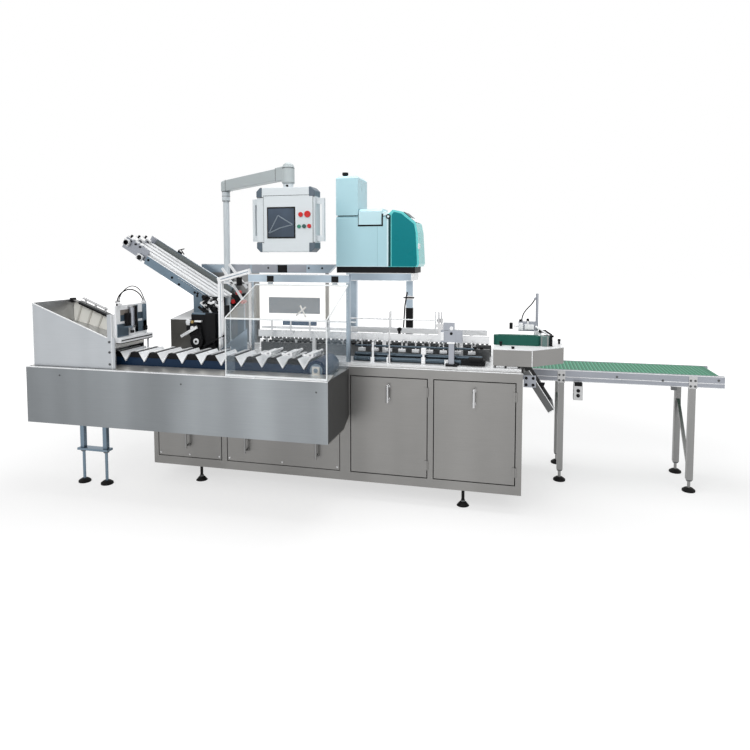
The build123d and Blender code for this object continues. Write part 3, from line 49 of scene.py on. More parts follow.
Point = tuple[float, float, float]
Colour = tuple[float, float, float]
Span = tuple[float, float]
Box = tuple[Span, Span, Span]
Bar = tuple[Point, Point, float]
Slab = tuple[tuple[Span, ...], str, float, float]
FRONT = Vector((0.0, -1.0, 0.0))
EVEN: Point = (1.0, 1.0, 1.0)
# Stretch of the broad upright bands of painted sheen on the steel.
PAINTED_SHEEN_STRETCH: Point = (1.6, 1.6, 0.15)
# Object-space X limits of the painted light ramp along the trough.
TROUGH_ENDS: Span = (-2.24, -0.15)
NOISE_BAND: Span = (0.3, 0.7)
BEVEL_ANGLE = math.radians(40)
SHARP_ANGLE = math.radians(35)
ROUND_SIDES = 40


def metres(x: float, y: float, z: float) -> Vector:
    """Turn machine millimetres, from the cabinet's front left corner, into the frame's metres."""
    return Vector(((x - MIDDLE_X) / 1000, (y - MIDDLE_Y) / 1000, z / 1000))


def leaning(at: Point, degrees: float) -> Matrix:
    """Matrix to a place, turned there about the axis that runs from front to rear."""
    return Matrix.Translation(at) @ Matrix.Rotation(math.radians(degrees), 4, "Y")


def box_at(box: Box, at: Point) -> Box:
    """A box's limits, moved to a place."""
    return tuple((low + move, high + move) for (low, high), move in zip(box, at))


def bar_at(bar: Bar, at: Point) -> Bar:
    """A bar's ends, moved to a place, and its radius."""
    return (*(tuple(a + b for a, b in zip(spot, at)) for spot in bar[:2]), bar[2])


class Grain(Enum):
    """Direction of the brush lines on a steel sheet, as noise scales along X, Y and Z."""

    ALONG = (1.2, 260.0, 260.0)
    UPRIGHT = (260.0, 260.0, 1.2)


class Nodes:
    """Short way to write a material's node tree."""

    def __init__(self, name: str) -> None:
        """Start an empty material.

        Args:
            name: the material's name.
        """
        self.material = bpy.data.materials.new(name)
        self.material.use_nodes = True
        self.tree = self.material.node_tree
        self.shader = self.tree.nodes["Principled BSDF"]
        self.where = self.add("ShaderNodeTexCoord").outputs["Object"]

    def add(self, kind: str, **values: object) -> bpy.types.Node:
        """Add a node and set its plain properties.

        Args:
            kind: Blender's name of the node type.
            values: properties of the node.

        Returns:
            The new node.
        """
        node = self.tree.nodes.new(kind)
        for key, value in values.items():
            setattr(node, key, value)
        return node

    def link(self, source: bpy.types.NodeSocket, target: bpy.types.NodeSocket) -> None:
        """Join two sockets."""
        self.tree.links.new(source, target)

    def noise(self, scale: Point, size: float, detail: float = 2.0) -> bpy.types.NodeSocket:
        """Noise in the object's own space.

        Args:
            scale: stretch along X, Y and Z.
            size: the noise's scale.
            detail: octaves.

        Returns:
            The factor socket.
        """
        mapping = self.add("ShaderNodeMapping")
        mapping.inputs["Scale"].default_value = scale
        self.link(self.where, mapping.inputs["Vector"])
        noise = self.add("ShaderNodeTexNoise")
        noise.inputs["Scale"].default_value = size
        noise.inputs["Detail"].default_value = detail
        self.link(mapping.outputs["Vector"], noise.inputs["Vector"])
        return noise.outputs["Fac"]

    def spread(self, factor: bpy.types.NodeSocket, low: float, high: float) -> bpy.types.NodeSocket:
        """Map noise from its middle band to a range of values.

        Args:
            factor: the noise.
            low: value at the dark end.
            high: value at the bright end.

        Returns:
            The mapped socket.
        """
        return self.remap(factor, NOISE_BAND, (low, high))

    def remap(self, value: bpy.types.NodeSocket, source: Span, target: Span) -> bpy.types.NodeSocket:
        """Map one range of values to another.

        Args:
            value: the socket to map.
            source: its range.
            target: the new range.

        Returns:
            The mapped socket.
        """
        ranged = self.add("ShaderNodeMapRange")
        for key, limit in zip(("From Min", "From Max", "To Min", "To Max"), (*source, *target)):
            ranged.inputs[key].default_value = limit
        self.link(value, ranged.inputs["Value"])
        return ranged.outputs["Result"]

    def math(
        self, operation: str, first: bpy.types.NodeSocket, second: bpy.types.NodeSocket,
    ) -> bpy.types.NodeSocket:
        """Join two values by a plain operation.

        Args:
            operation: ADD, MULTIPLY or MAXIMUM.
            first: one value.
            second: the other value.

        Returns:
            The result socket.
        """
        node = self.add("ShaderNodeMath", operation=operation)
        self.link(first, node.inputs[0])
        self.link(second, node.inputs[1])
        return node.outputs[0]

    def tint(self, factor: bpy.types.NodeSocket, dark: Colour, light: Colour) -> bpy.types.NodeSocket:
        """Blend two colours by a factor.

        Args:
            factor: 0 for dark, 1 for light.
            dark: first colour.
            light: second colour.

        Returns:
            The colour socket.
        """
        mix = self.add("ShaderNodeMix", data_type="RGBA")
        mix.inputs["A"].default_value = (*dark, 1)
        mix.inputs["B"].default_value = (*light, 1)
        self.link(factor, mix.inputs["Factor"])
        return mix.outputs["Result"]

    def painted_light_ramp(self, colour: bpy.types.NodeSocket, left: float, right: float) -> bpy.types.NodeSocket:
        """Paint light onto a colour: darker or lighter from the trough's left end to its right end, a painted
        light ramp.

        Args:
            colour: the colour.
            left: factor at the left end.
            right: factor at the right end.

        Returns:
            The colour socket.
        """
        split = self.add("ShaderNodeSeparateXYZ")
        self.link(self.where, split.inputs["Vector"])
        mix = self.add("ShaderNodeVectorMath", operation="SCALE")
        self.link(colour, mix.inputs[0])
        self.link(self.remap(split.outputs["X"], TROUGH_ENDS, (left, right)), mix.inputs["Scale"])
        return mix.outputs["Vector"]

    def bump(self, height: bpy.types.NodeSocket, strength: float, distance: float) -> None:
        """Raise the surface by a height socket.

        Args:
            height: the height.
            strength: how strong the relief shows.
            distance: its depth in metres.
        """
        bump = self.add("ShaderNodeBump")
        bump.inputs["Strength"].default_value = strength
        bump.inputs["Distance"].default_value = distance
        self.link(height, bump.inputs["Height"])
        self.link(bump.outputs["Normal"], self.shader.inputs["Normal"])


def scaled(colour: Colour, factor: float) -> Colour:
    """A colour made lighter or darker."""
    return tuple(channel * factor for channel in colour)


def around(colour: Colour, share: float) -> tuple[Colour, Colour]:
    """A colour made darker and lighter by the same share."""
    return scaled(colour, 1 - share), scaled(colour, 1 + share)


@dataclass(frozen=True)
class BrushedSteel:
    """Brushed stainless sheet: fine lines along the grain, soft handling marks, broad upright bands of
    painted sheen and a painted light ramp.
    """

    name: str
    colour: Colour = (0.315, 0.318, 0.322)
    grain: Grain = Grain.ALONG
    roughness: float = 0.36
    contrast: float = 0.10
    painted_sheen_bands: float = 0.12
    # Factors of the painted light ramp at the trough's left and right ends; 1 leaves the colour as it is.
    painted_light_ramp: Span = (1.0, 1.0)
    slot: str = "stainless"
    line_share: float = 0.6
    metallic: float = 0.9

    def material(self) -> bpy.types.Material:
        """Build the material.

        Returns:
            The material.
        """
        nodes = Nodes(self.name)
        lines = nodes.noise(self.grain.value, size=5.0, detail=4.0)
        marks = nodes.noise(EVEN, size=2.3, detail=3.0)
        line_part = nodes.spread(lines, 0.0, self.line_share)
        both = nodes.math("ADD", line_part, nodes.spread(marks, 0.0, 1 - self.line_share))
        tone = nodes.tint(both, *around(self.colour, self.contrast))
        # Broad bands stretched upright lighten and darken the colour: a painted sheen standing for vertical
        # reflections.
        broad = nodes.noise(PAINTED_SHEEN_STRETCH, size=1.5, detail=2.0)
        shade = nodes.add("ShaderNodeMix", data_type="RGBA", blend_type="MULTIPLY")
        shade.inputs["Factor"].default_value = 1.0
        nodes.link(tone, shade.inputs["A"])
        nodes.link(nodes.tint(nodes.spread(broad, 0.0, 1.0), *around(EVEN, self.painted_sheen_bands)), shade.inputs["B"])
        nodes.link(nodes.painted_light_ramp(shade.outputs["Result"], *self.painted_light_ramp), nodes.shader.inputs["Base Color"])
        rough = nodes.spread(lines, self.roughness - 0.05, self.roughness + 0.08)
        nodes.link(rough, nodes.shader.inputs["Roughness"])
        nodes.shader.inputs["Metallic"].default_value = self.metallic
        nodes.bump(lines, strength=0.06, distance=0.0004)
        return nodes.material


@dataclass(frozen=True)
class Paint:
    """Painted or moulded surface with a faint orange peel."""

    name: str
    colour: Colour
    roughness: float = 0.35
    relief: float = 0.03
    metallic: float = 0.0
    slot: str = "painted_white"
    variation: float = 0.03
    specular: float = 0.5

    def material(self) -> bpy.types.Material:
        """Build the material.

        Returns:
            The material.
        """
        nodes = Nodes(self.name)
        broad = nodes.noise(EVEN, size=6.0, detail=2.0)
        fine = nodes.noise(EVEN, size=420.0, detail=1.0)
        nodes.link(nodes.tint(broad, *around(self.colour, self.variation)), nodes.shader.inputs["Base Color"])
        rough = nodes.spread(broad, self.roughness - 0.03, self.roughness + 0.05)
        nodes.link(rough, nodes.shader.inputs["Roughness"])
        nodes.shader.inputs["Metallic"].default_value = self.metallic
        nodes.shader.inputs["Specular IOR Level"].default_value = self.specular
        nodes.bump(fine, strength=self.relief, distance=0.0006)
        return nodes.material


@dataclass(frozen=True)
class ClearSheet:
    """Clear polycarbonate sheet."""

    name: str
    colour: Colour = (0.78, 0.87, 0.93)
    alpha: float = 0.025
    slot: str = "clear_guard"
    specular: float = 0.5
    roughness: float = 0.06
    variation: float = 0.03

    def material(self) -> bpy.types.Material:
        """Build the material.

        Returns:
            The material.
        """
        nodes = Nodes(self.name)
        haze = nodes.noise(EVEN, size=3.0, detail=2.0)
        nodes.link(nodes.tint(haze, *around(self.colour, self.variation)), nodes.shader.inputs["Base Color"])
        nodes.shader.inputs["Roughness"].default_value = self.roughness
        nodes.shader.inputs["Alpha"].default_value = self.alpha
        nodes.shader.inputs["Specular IOR Level"].default_value = self.specular
        return nodes.material


@dataclass(frozen=True)
class RibbedBelt:
    """Modular belt: fine ribs across the run with darker joints."""

    name: str
    colour: Colour
    pitch: float = 0.0254
    wave_scale: float = 0.314
    slot: str = "belt_green"

    def material(self) -> bpy.types.Material:
        """Build the material.

        Returns:
            The material.
        """
        nodes = Nodes(self.name)
        wave = nodes.add("ShaderNodeTexWave", wave_type="BANDS", bands_direction="X")
        wave.inputs["Scale"].default_value = self.wave_scale / self.pitch
        wave.inputs["Distortion"].default_value = 0.0
        nodes.link(nodes.where, wave.inputs["Vector"])
        wear = nodes.noise(EVEN, size=30.0, detail=3.0)
        both = nodes.math("MULTIPLY", wave.outputs["Fac"], nodes.spread(wear, 0.7, 1.0))
        shades = (scaled(self.colour, 0.55), scaled(self.colour, 1.15))
        nodes.link(nodes.tint(both, *shades), nodes.shader.inputs["Base Color"])
        nodes.shader.inputs["Roughness"].default_value = 0.6
        nodes.bump(wave.outputs["Fac"], strength=0.5, distance=0.002)
        return nodes.material


class Finish(Enum):
    """Every finish on the machine."""

    SHEET = BrushedSteel("stainless_sheet", colour=(0.252, 0.248, 0.241))
    SHEET_UPRIGHT = BrushedSteel("stainless_upright", colour=(0.268, 0.268, 0.265), grain=Grain.UPRIGHT)
    # The trough's sheet is painted darker at its left end and lighter at its right end: painted light along
    # the trough.
    TROUGH = BrushedSteel(
        "trough_sheet", colour=(0.245, 0.262, 0.275), roughness=0.34, painted_sheen_bands=0.24, painted_light_ramp=(0.85, 1.35),
    )
    # The hopper's front takes a lighter copy of the stainless sheet: painted light on its front.
    HOPPER_SHEET = BrushedSteel("hopper_lit_sheet", colour=(0.418, 0.439, 0.461), roughness=0.34, painted_sheen_bands=0.2)
    # The drive housing takes a near-black copy of the stainless sheet: painted shade.
    HOUSING = BrushedSteel("shaded_housing_sheet", colour=(0.127, 0.124, 0.117), roughness=0.32, painted_sheen_bands=0.35)
    BRIGHT = BrushedSteel("bright_sheet", colour=(0.469, 0.472, 0.476), roughness=0.3)
    TRAY = BrushedSteel("polished_tray", colour=(0.616, 0.603, 0.57), roughness=0.36, painted_sheen_bands=0.3)
    # The stainless buckets take a near-white paint: the bright sheen of their fronts is painted into the
    # colour.
    BUCKET = Paint(
        "bucket_sheet_with_sheen", (0.84, 0.85, 0.86), roughness=0.3, metallic=0.25, slot="stainless", variation=0.08,
    )
    STEEL_BLUE = BrushedSteel("blue_grey_plate", colour=(0.164, 0.221, 0.275), roughness=0.35)
    FRAME_BLUE = BrushedSteel("pale_blue_frame", colour=(0.335, 0.402, 0.462), roughness=0.34, painted_sheen_bands=0.25)
    DARK_SHEET = BrushedSteel("dark_sheet", colour=(0.107, 0.111, 0.114), slot="dark_stainless")
    ALUMINIUM = BrushedSteel(
        "anodised_aluminium", colour=(0.302, 0.318, 0.352), roughness=0.42, contrast=0.05, slot="aluminium",
    )
    CHROME = BrushedSteel(
        "polished_bar", colour=(0.536, 0.536, 0.543), roughness=0.14, contrast=0.04, slot="chrome",
    )
    TUBE = BrushedSteel(
        "blue_tube", colour=(0.04, 0.054, 0.067), roughness=0.25, contrast=0.04, slot="chrome",
    )
    SHADE_SHEET = BrushedSteel("shaded_sheet", colour=(0.101, 0.103, 0.104), roughness=0.36)
    BRASS = BrushedSteel("brass", colour=(0.402, 0.281, 0.107), roughness=0.25, slot="chrome")
    # Bright paint for light metal parts, and for the thin strips that paint highlights along cut edges and
    # hems.
    EDGE = Paint("bright_parts_and_edge_highlights", (0.82, 0.83, 0.84), roughness=0.25, metallic=0.35, slot="chrome")
    RAIL = Paint("smooth_rail", (0.72, 0.73, 0.74), roughness=0.4, relief=0.0, slot="chrome", variation=0.01)
    RAIL_SHADE = Paint(
        "smooth_grey_shade", (0.14, 0.155, 0.155), roughness=0.5, relief=0.0, slot="dark_stainless", specular=0.3,
    )
    INNER_BLUE = Paint("inner_plate_blue", (0.12, 0.18, 0.26), roughness=0.45, specular=0.2)
    WHITE = Paint("white_paint", (0.78, 0.79, 0.80))
    PANEL_GREY = Paint("panel_grey_paint", (0.66, 0.71, 0.735), roughness=0.4)
    ARM_GREY = Paint("arm_grey_paint", (0.44, 0.49, 0.50), roughness=0.4)
    POST_GREY = Paint("post_grey_paint", (0.60, 0.65, 0.68), roughness=0.35)
    CREAM = Paint("cream_liner", (0.80, 0.79, 0.73), roughness=0.5)
    LINER_SHADE = Paint("liner_ribs", (0.55, 0.54, 0.49), roughness=0.45)
    TAUPE = Paint("taupe_pane", (0.20, 0.18, 0.16))
    SLATE = Paint("slate_pane", (0.05, 0.075, 0.10), specular=0.25)
    SLATE_CORNER = Paint("slate_corner", (0.075, 0.105, 0.135), roughness=0.4)
    SCREEN = Paint(
        "screen_glass", (0.035, 0.055, 0.085), roughness=0.12, relief=0.0, slot="black_plastic",
        variation=0.5,
    )
    SCREEN_LINE = Paint("screen_line", (0.20, 0.24, 0.28), slot="black_plastic", specular=0.2)
    GLUE_BLUE = Paint("pale_blue_enamel", (0.41, 0.645, 0.71), roughness=0.3, slot="glue_blue")
    GLUE_LID = Paint("pale_blue_lid", (0.52, 0.74, 0.80), roughness=0.22, slot="glue_blue")
    GLUE_PALE = Paint("pale_blue_edge_highlight", (0.70, 0.86, 0.90), roughness=0.3, slot="glue_blue")
    GLUE_SHADE = Paint("pale_blue_seam", (0.22, 0.42, 0.47), roughness=0.4, slot="glue_blue")
    # The cover's teal, lightened to bright cyan on its sides and top: its own colour with a painted
    # highlight.
    CYAN = Paint("cover_teal_and_sheen", (0.12, 0.62, 0.62), roughness=0.25, slot="glue_teal")
    TEAL = Paint("teal_cover", (0.0, 0.195, 0.22), roughness=0.3, slot="glue_teal", specular=0.15)
    # Near-black teal for the recess and the gap beside the cover: painted shade.
    TEAL_DARK = Paint("teal_recess_shade", (0.0, 0.03, 0.035), roughness=0.3, slot="glue_teal", specular=0.2)
    BLACK = Paint(
        "black_plastic_parts", (0.008, 0.008, 0.009), roughness=0.5, slot="black_plastic", specular=0.12,
    )
    RUBBER = Paint(
        "black_rubber_parts", (0.007, 0.007, 0.007), roughness=0.6, relief=0.1, slot="black_rubber",
        specular=0.15,
    )
    NAVY = Paint("navy_belt", (0.006, 0.021, 0.052), roughness=0.45, slot="belt_navy", specular=0.18)
    PRESS = Paint(
        "press_belt_green", (0.006, 0.085, 0.062), roughness=0.5, relief=0.1, slot="press_green",
        specular=0.25,
    )
    GREEN_GREY = Paint("roller_guard_grey", (0.09, 0.16, 0.15), roughness=0.4, slot="press_green")
    GREEN_BELT = RibbedBelt("green_modular_belt", (0.035, 0.21, 0.12))
    GREEN_RIB = Paint("green_belt_ribs", (0.13, 0.38, 0.25), roughness=0.5, slot="belt_green", specular=0.3)
    RED = Paint("red_plastic", (0.55, 0.015, 0.015), roughness=0.3, slot="black_plastic", specular=0.3)
    GREEN_LIGHT = Paint("green_button_cap", (0.02, 0.20, 0.12), slot="black_plastic")
    DARK_GREEN = Paint("dark_button_cap", (0.01, 0.07, 0.06), slot="black_plastic")
    CLEAR = ClearSheet("clear_guard_sheet")
    # The lid's sloping top is tinted warm ivory: a painted reflection on the clear sheet.
    CLEAR_TOP = ClearSheet("clear_lid_painted_reflection", colour=(0.60, 0.58, 0.52), alpha=0.16, specular=0.15)
    CLEAR_SIDE = ClearSheet("clear_side_sheet", colour=(0.52, 0.64, 0.74), alpha=0.13)
    # Near-opaque white strips on the clear sheets' edges: painted highlights.
    CLEAR_EDGE = ClearSheet("clear_sheet_edge_highlight", colour=(0.92, 0.95, 0.96), alpha=0.85)

    def dress(self, piece: bpy.types.Object) -> bpy.types.Object:
        """Put this finish on a piece, building its material once.

        Args:
            piece: the mesh or curve.

        Returns:
            The same piece.
        """
        known = bpy.data.materials.get(self.value.name)
        material = known or self.value.material()
        piece.data.materials.clear()
        piece.data.materials.append(material)
        return piece


NODES_BY_FINISH: dict[Finish, tuple[str, ...]] = {
    Finish.SHEET: (
        "cabinet_plinth", "cabinet_bed", "cabinet_left_housing", "service_panels", "cabinet_walls",
        "door_left", "door_right", "hopper_rear_panel", "closing_housing",
    ),
    Finish.EDGE: ("bed_plate", "opener_post", "guide_beam", "chain_lugs", "carton_top_guide"),
    Finish.RUBBER: ("cabinet_feet", "pick_hose_lower", "pick_hose_upper", "mast_hose"),
    Finish.TROUGH: ("trough_front_panel",),
    Finish.SHADE_SHEET: ("trough_ends", "reject_chute"),
    Finish.TRAY: ("trough_plates",),
    Finish.STEEL_BLUE: ("trough_stand", "magazine_sides", "opener_drive"),
    Finish.NAVY: ("bucket_belt", "belt_pads"),
    Finish.BUCKET: ("bag_buckets",),
    Finish.HOPPER_SHEET: ("hopper_front_panel",),
    # The hopper's left wall takes the bright sheet as painted light: its inner side lies in shade.
    Finish.BRIGHT: ("hopper_left_wall", "hopper_floor", "outfeed_switch"),
    Finish.WHITE: ("pick_frame",),
    Finish.ALUMINIUM: ("pick_cylinder", "magazine_head", "sensor_masts", "outfeed_rails"),
    Finish.HOUSING: ("magazine_drive_housing",),
    Finish.RAIL: ("magazine_rails",),
    Finish.BLACK: ("vacuum_rotor", "glue_base"),
    Finish.FRAME_BLUE: ("guard_frame", "rear_duct", "glue_stand"),
    Finish.CLEAR_SIDE: ("guard_sides",),
    Finish.CLEAR_TOP: ("guard_lid_top",),
    Finish.CLEAR: ("guard_lid_front",),
    Finish.SHEET_UPRIGHT: ("rear_supports", "outfeed_frames"),
    Finish.POST_GREY: ("arm_post",),
    Finish.ARM_GREY: ("panel_arm",),
    Finish.PANEL_GREY: ("operator_panel",),
    Finish.GLUE_BLUE: ("glue_tank",),
    Finish.CYAN: ("glue_cover",),
    Finish.GLUE_LID: ("glue_tank_lid",),
    Finish.DARK_SHEET: ("chain_beds",),
    Finish.TUBE: ("flap_tubes",),
    Finish.PRESS: ("press_belt",),
    Finish.GREEN_BELT: ("outfeed_belt",),
}


class Bench:
    """Mesh building in machine millimetres: gathers solids into one piece, then finishes it."""

    def __init__(self, name: str, body: str = MACHINE) -> None:
        """Start an empty piece.

        Args:
            name: the piece's name.
            body: the CAD body that it rides on.
        """
        self.name = name
        self.body = body
        self.mesh = bmesh.new()

    def block(self, x: Span, y: Span, z: Span, turn: Matrix | None = None) -> "Bench":
        """Add a box between limits.

        Args:
            x: left and right.
            y: front and rear.
            z: bottom and top.
            turn: an optional matrix in millimetres, applied to the box.

        Returns:
            This bench, for chaining.
        """
        made = bmesh.ops.create_cube(self.mesh, size=1.0)["verts"]
        centre = Vector((sum(x) / 2, sum(y) / 2, sum(z) / 2))
        size = Vector((x[1] - x[0], y[1] - y[0], z[1] - z[0]))
        for vert in made:
            spot = Vector(a * b for a, b in zip(vert.co, size)) + centre
            vert.co = turn @ spot if turn else spot
        return self

    def rod(
        self, start: Point, end: Point, radius: float,
        sides: int = 20, tip: float | None = None, turn: Matrix | None = None,
    ) -> "Bench":
        """Add a round bar between two points.

        Args:
            start: first end.
            end: second end.
            radius: the radius at the start.
            sides: facets around.
            tip: radius at the end, when it differs.
            turn: an optional matrix in millimetres, applied to both ends.

        Returns:
            This bench, for chaining.
        """
        a, b = (turn @ Vector(spot) if turn else Vector(spot) for spot in (start, end))
        line = b - a
        made = bmesh.ops.create_cone(
            self.mesh, cap_ends=True, segments=sides, radius1=radius,
            radius2=radius if tip is None else tip, depth=line.length,
        )["verts"]
        place = Matrix.Translation((a + b) / 2) @ line.to_track_quat("Z", "Y").to_matrix().to_4x4()
        bmesh.ops.transform(self.mesh, matrix=place, verts=made)
        return self

    def bolt(self, at: Point, way: Vector, radius: float) -> "Bench":
        """Add a hexagon bolt head on its washer.

        Args:
            at: the middle of the washer, on the surface.
            way: the direction in which the head stands out.
            radius: the head's radius.

        Returns:
            This bench, for chaining.
        """
        spot = Vector(at)
        self.rod(spot, spot + way * radius * 0.25, radius * 1.35)
        return self.rod(spot + way * radius * 0.2, spot + way * radius * 0.9, radius, sides=6)

    def prism(self, outline: Sequence[Span], axis: str, low: float, high: float) -> "Bench":
        """Add a flat outline given thickness.

        Args:
            outline: corners in the two other axes, in X, Y, Z order.
            axis: X, Y or Z, the direction of the thickness.
            low: where the thickness starts.
            high: where it ends.

        Returns:
            This bench, for chaining.
        """
        def spot(a: float, b: float, depth: float) -> Vector:
            """One corner in space."""
            return Vector({"X": (depth, a, b), "Y": (a, depth, b), "Z": (a, b, depth)}[axis])

        first = [self.mesh.verts.new(spot(a, b, low)) for a, b in outline]
        second = [self.mesh.verts.new(spot(a, b, high)) for a, b in outline]
        self.mesh.faces.new(first)
        self.mesh.faces.new(second)
        count = len(outline)
        for i in range(count):
            j = (i + 1) % count
            self.mesh.faces.new((first[i], first[j], second[j], second[i]))
        return self

    def done(
        self, finish: Finish, bevel: float = 0.0, replaces: tuple[str, ...] = (), segments: int = 2,
    ) -> bpy.types.Object:
        """Turn the gathered solids into a dressed piece that rides on its body.

        Args:
            finish: its finish.
            bevel: edge rounding in millimetres.
            replaces: CAD nodes that it stands for.
            segments: steps of the rounding.

        Returns:
            The piece.
        """
        bmesh.ops.recalc_face_normals(self.mesh, faces=self.mesh.faces)
        for vert in self.mesh.verts:
            vert.co = metres(*vert.co)
        data = bpy.data.meshes.new(self.name)
        self.mesh.to_mesh(data)
        self.mesh.free()
        piece = bpy.data.objects.new(self.name, data)
        bpy.context.scene.collection.objects.link(piece)
        for face in data.polygons:
            face.use_smooth = True
        if bevel:
            rounding = piece.modifiers.new("edges", "BEVEL")
            rounding.width = bevel / 1000
            rounding.segments = segments
            rounding.limit_method = "ANGLE"
            rounding.angle_limit = BEVEL_ANGLE
            rounding.harden_normals = True
        data.set_sharp_from_angle(angle=SHARP_ANGLE)
        finish.dress(piece)
        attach(piece, self.body)
        if replaces:
            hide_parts(*replaces)
        LOG.info("built %s on %s", self.name, self.body)
        return piece


@dataclass(frozen=True)
class AirHose:
    """Black air hose that follows the CAD tube's route between two fittings."""

    node: str
    diameter: float
    length: float
    route: tuple[Point, ...]

    def build(self) -> None:
        data = bpy.data.curves.new(f"{self.node}_line", "CURVE")
        data.dimensions = "3D"
        data.bevel_depth = self.diameter / 2000
        data.bevel_resolution = 5
        data.resolution_u = 16
        data.use_fill_caps = True
        line = data.splines.new("NURBS")
        line.points.add(len(self.route) - 1)
        for point, spot in zip(line.points, self.route):
            point.co = (*metres(*spot), 1)
        line.order_u = 3
        line.use_endpoint_u = True
        piece = bpy.data.objects.new(f"{self.node}_line", data)
        bpy.context.scene.collection.objects.link(piece)
        Finish.RUBBER.dress(piece)
        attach(piece, MACHINE)
        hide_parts(self.node)
        LOG.info("laid %s", self.node)


AIR_HOSES = (
    AirHose("pick_hose_lower", 8.0, 326.0, (
        (-10.0, -347.0, 1294.0),
        (-10.0, -337.0, 1326.0),
        (-10.0, -292.0, 1356.0),
        (-10.0, -237.0, 1370.0),
        (-10.0, -182.0, 1366.0),
        (-10.0, -132.0, 1346.0),
        (-10.0, -96.0, 1320.0),
        (-10.0, -78.0, 1294.0),
    )),
    AirHose("pick_hose_upper", 6.0, 353.0, (
        (2.0, -347.0, 1294.0),
        (2.0, -338.0, 1326.0),
        (2.0, -300.0, 1362.0),
        (2.0, -247.0, 1388.0),
        (2.0, -190.0, 1392.0),
        (2.0, -137.0, 1372.0),
        (2.0, -100.0, 1336.0),
        (2.0, -79.0, 1294.0),
    )),
    AirHose("mast_hose", 8.0, 162.0, (
        (2603.0, 450.0, 1300.0),
        (2587.0, 450.0, 1270.0),
        (2562.0, 450.0, 1245.0),
        (2538.0, 450.0, 1216.0),
        (2524.0, 450.0, 1184.0),
        (2521.0, 450.0, 1164.0),
    )),
)


@dataclass(frozen=True)
class Trim:
    """One piece of plain boxes, round bars and flat slabs under one finish.

    Boxes are limits along X, Y and Z, bars are two ends and a radius, and slabs are an outline, the axis
    of its thickness and two limits along it.
    """

    name: str
    finish: Finish
    boxes: tuple[Box, ...] = ()
    bars: tuple[Bar, ...] = ()
    slabs: tuple[Slab, ...] = ()
    bevel: float = 0.0
    body: str = MACHINE

    def bench(self, turn: Matrix | None = None) -> Bench:
        """Gather its solids on a bench.

        Args:
            turn: an optional matrix in millimetres, applied to its boxes and bars.

        Returns:
            The bench, open for more solids.
        """
        bench = Bench(self.name, self.body)
        for box in self.boxes:
            bench.block(*box, turn)
        for start, end, radius in self.bars:
            bench.rod(start, end, radius, turn=turn)
        for slab in self.slabs:
            bench.prism(*slab)
        return bench

    def build(self, turn: Matrix | None = None) -> None:
        """Make the piece."""
        self.bench(turn).done(self.finish, self.bevel)


@dataclass(frozen=True)
class Sole:
    """Rubber sole of a levelling foot: a flat disc under a cone."""

    lift: float = 0.4
    height: float = 12.0
    top: float = 25.0
    radius: float = 42.0
    tip: float = 24.0

    def add(self, bench: Bench, x: float, y: float) -> None:
        """Add one sole to a bench."""
        bench.rod((x, y, self.lift), (x, y, self.height), self.radius)
        bench.rod((x, y, self.height), (x, y, self.top), self.radius, tip=self.tip)


@dataclass(frozen=True)
class Cabinet:
    """Grips, screws, foot nuts and the painted highlight along the cabinet's hem."""

    length: float = 2533.0
    bed_top: float = 880.0
    hem_depth: float = 6.0
    grip_length: float = 110.0
    grip_reach: float = 34.0
    grip_radius: float = 8.4
    grip_overrun: float = 3.0
    stem_inset: float = 14.0
    stem_share: float = 0.8
    rose_share: float = 1.5
    rose_depth: float = 4.0
    door_grip_top: float = 774.0
    panel_grip_top: float = 370.0
    door_grips: tuple[tuple[str, float], ...] = (("left_door", 1701.5), ("right_door", 2242.5))
    shaded_panel_grips: Point = (271.9, 716.2, 1220.8)
    panels: tuple[Span, ...] = ((41.0, 522.0), (572.0, 1373.0))
    screw_inset: float = 14.0
    screw_height: float = 206.0
    screw_radius: float = 5.0
    foot_x: Span = (324.0, 2173.0)
    foot_y: Span = (80.0, 880.0)
    foot_nuts: tuple[Point, ...] = ((110.0, 124.5, 19.0), (24.0, 36.0, 15.0))

    def build(self) -> None:
        """Build all trim of the cabinet."""
        for body, x in self.door_grips:
            bench = Bench(f"{body}_grip", body)
            self.grip(bench, x, self.door_grip_top)
            bench.done(Finish.CHROME, bevel=1.5)
        # The grips under the trough take a darker sheet than the door grips: painted shade.
        grips = Bench("shaded_panel_grips")
        for x in self.shaded_panel_grips:
            self.grip(grips, x, self.panel_grip_top)
        grips.done(Finish.SHEET_UPRIGHT, bevel=1.5)
        self.screws()
        # A thin bright strip along the cabinet top's front edge: a painted highlight.
        hem = Bench("bed_hem_highlight")
        hem.block((0, self.length), (-1.5, self.hem_depth), (self.bed_top - 3, self.bed_top + 1))
        hem.done(Finish.EDGE, bevel=0.8)
        self.nuts()

    def grip(self, bench: Bench, x: float, top: float) -> None:
        """Cover one bar handle with a grip, its two stems and their roses.

        Args:
            bench: the bench to add to.
            x: place along the machine.
            top: upper end of the handle.
        """
        y = -self.grip_reach
        bottom = top - self.grip_length
        bench.rod((x, y, bottom - self.grip_overrun), (x, y, top + self.grip_overrun), self.grip_radius)
        for z in (bottom + self.stem_inset, top - self.stem_inset):
            bench.rod((x, y, z), (x, 0, z), self.grip_radius * self.stem_share)
            bench.rod((x, -self.rose_depth, z), (x, 0, z), self.grip_radius * self.rose_share)

    def screws(self) -> None:
        """Three screws along each service panel."""
        screws = Bench("panel_screws")
        for left, right in self.panels:
            for x in (left + self.screw_inset, (left + right) / 2, right - self.screw_inset):
                screws.bolt((x, 0, self.screw_height), FRONT, self.screw_radius)
        screws.done(Finish.CHROME)

    def nuts(self) -> None:
        """Two nuts on the stem of each levelling foot."""
        nuts = Bench("foot_nuts")
        for x in self.foot_x:
            for y in self.foot_y:
                for low, high, radius in self.foot_nuts:
                    nuts.rod((x, y, low), (x, y, high), radius, sides=6)
        nuts.done(Finish.DARK_SHEET, bevel=0.8)


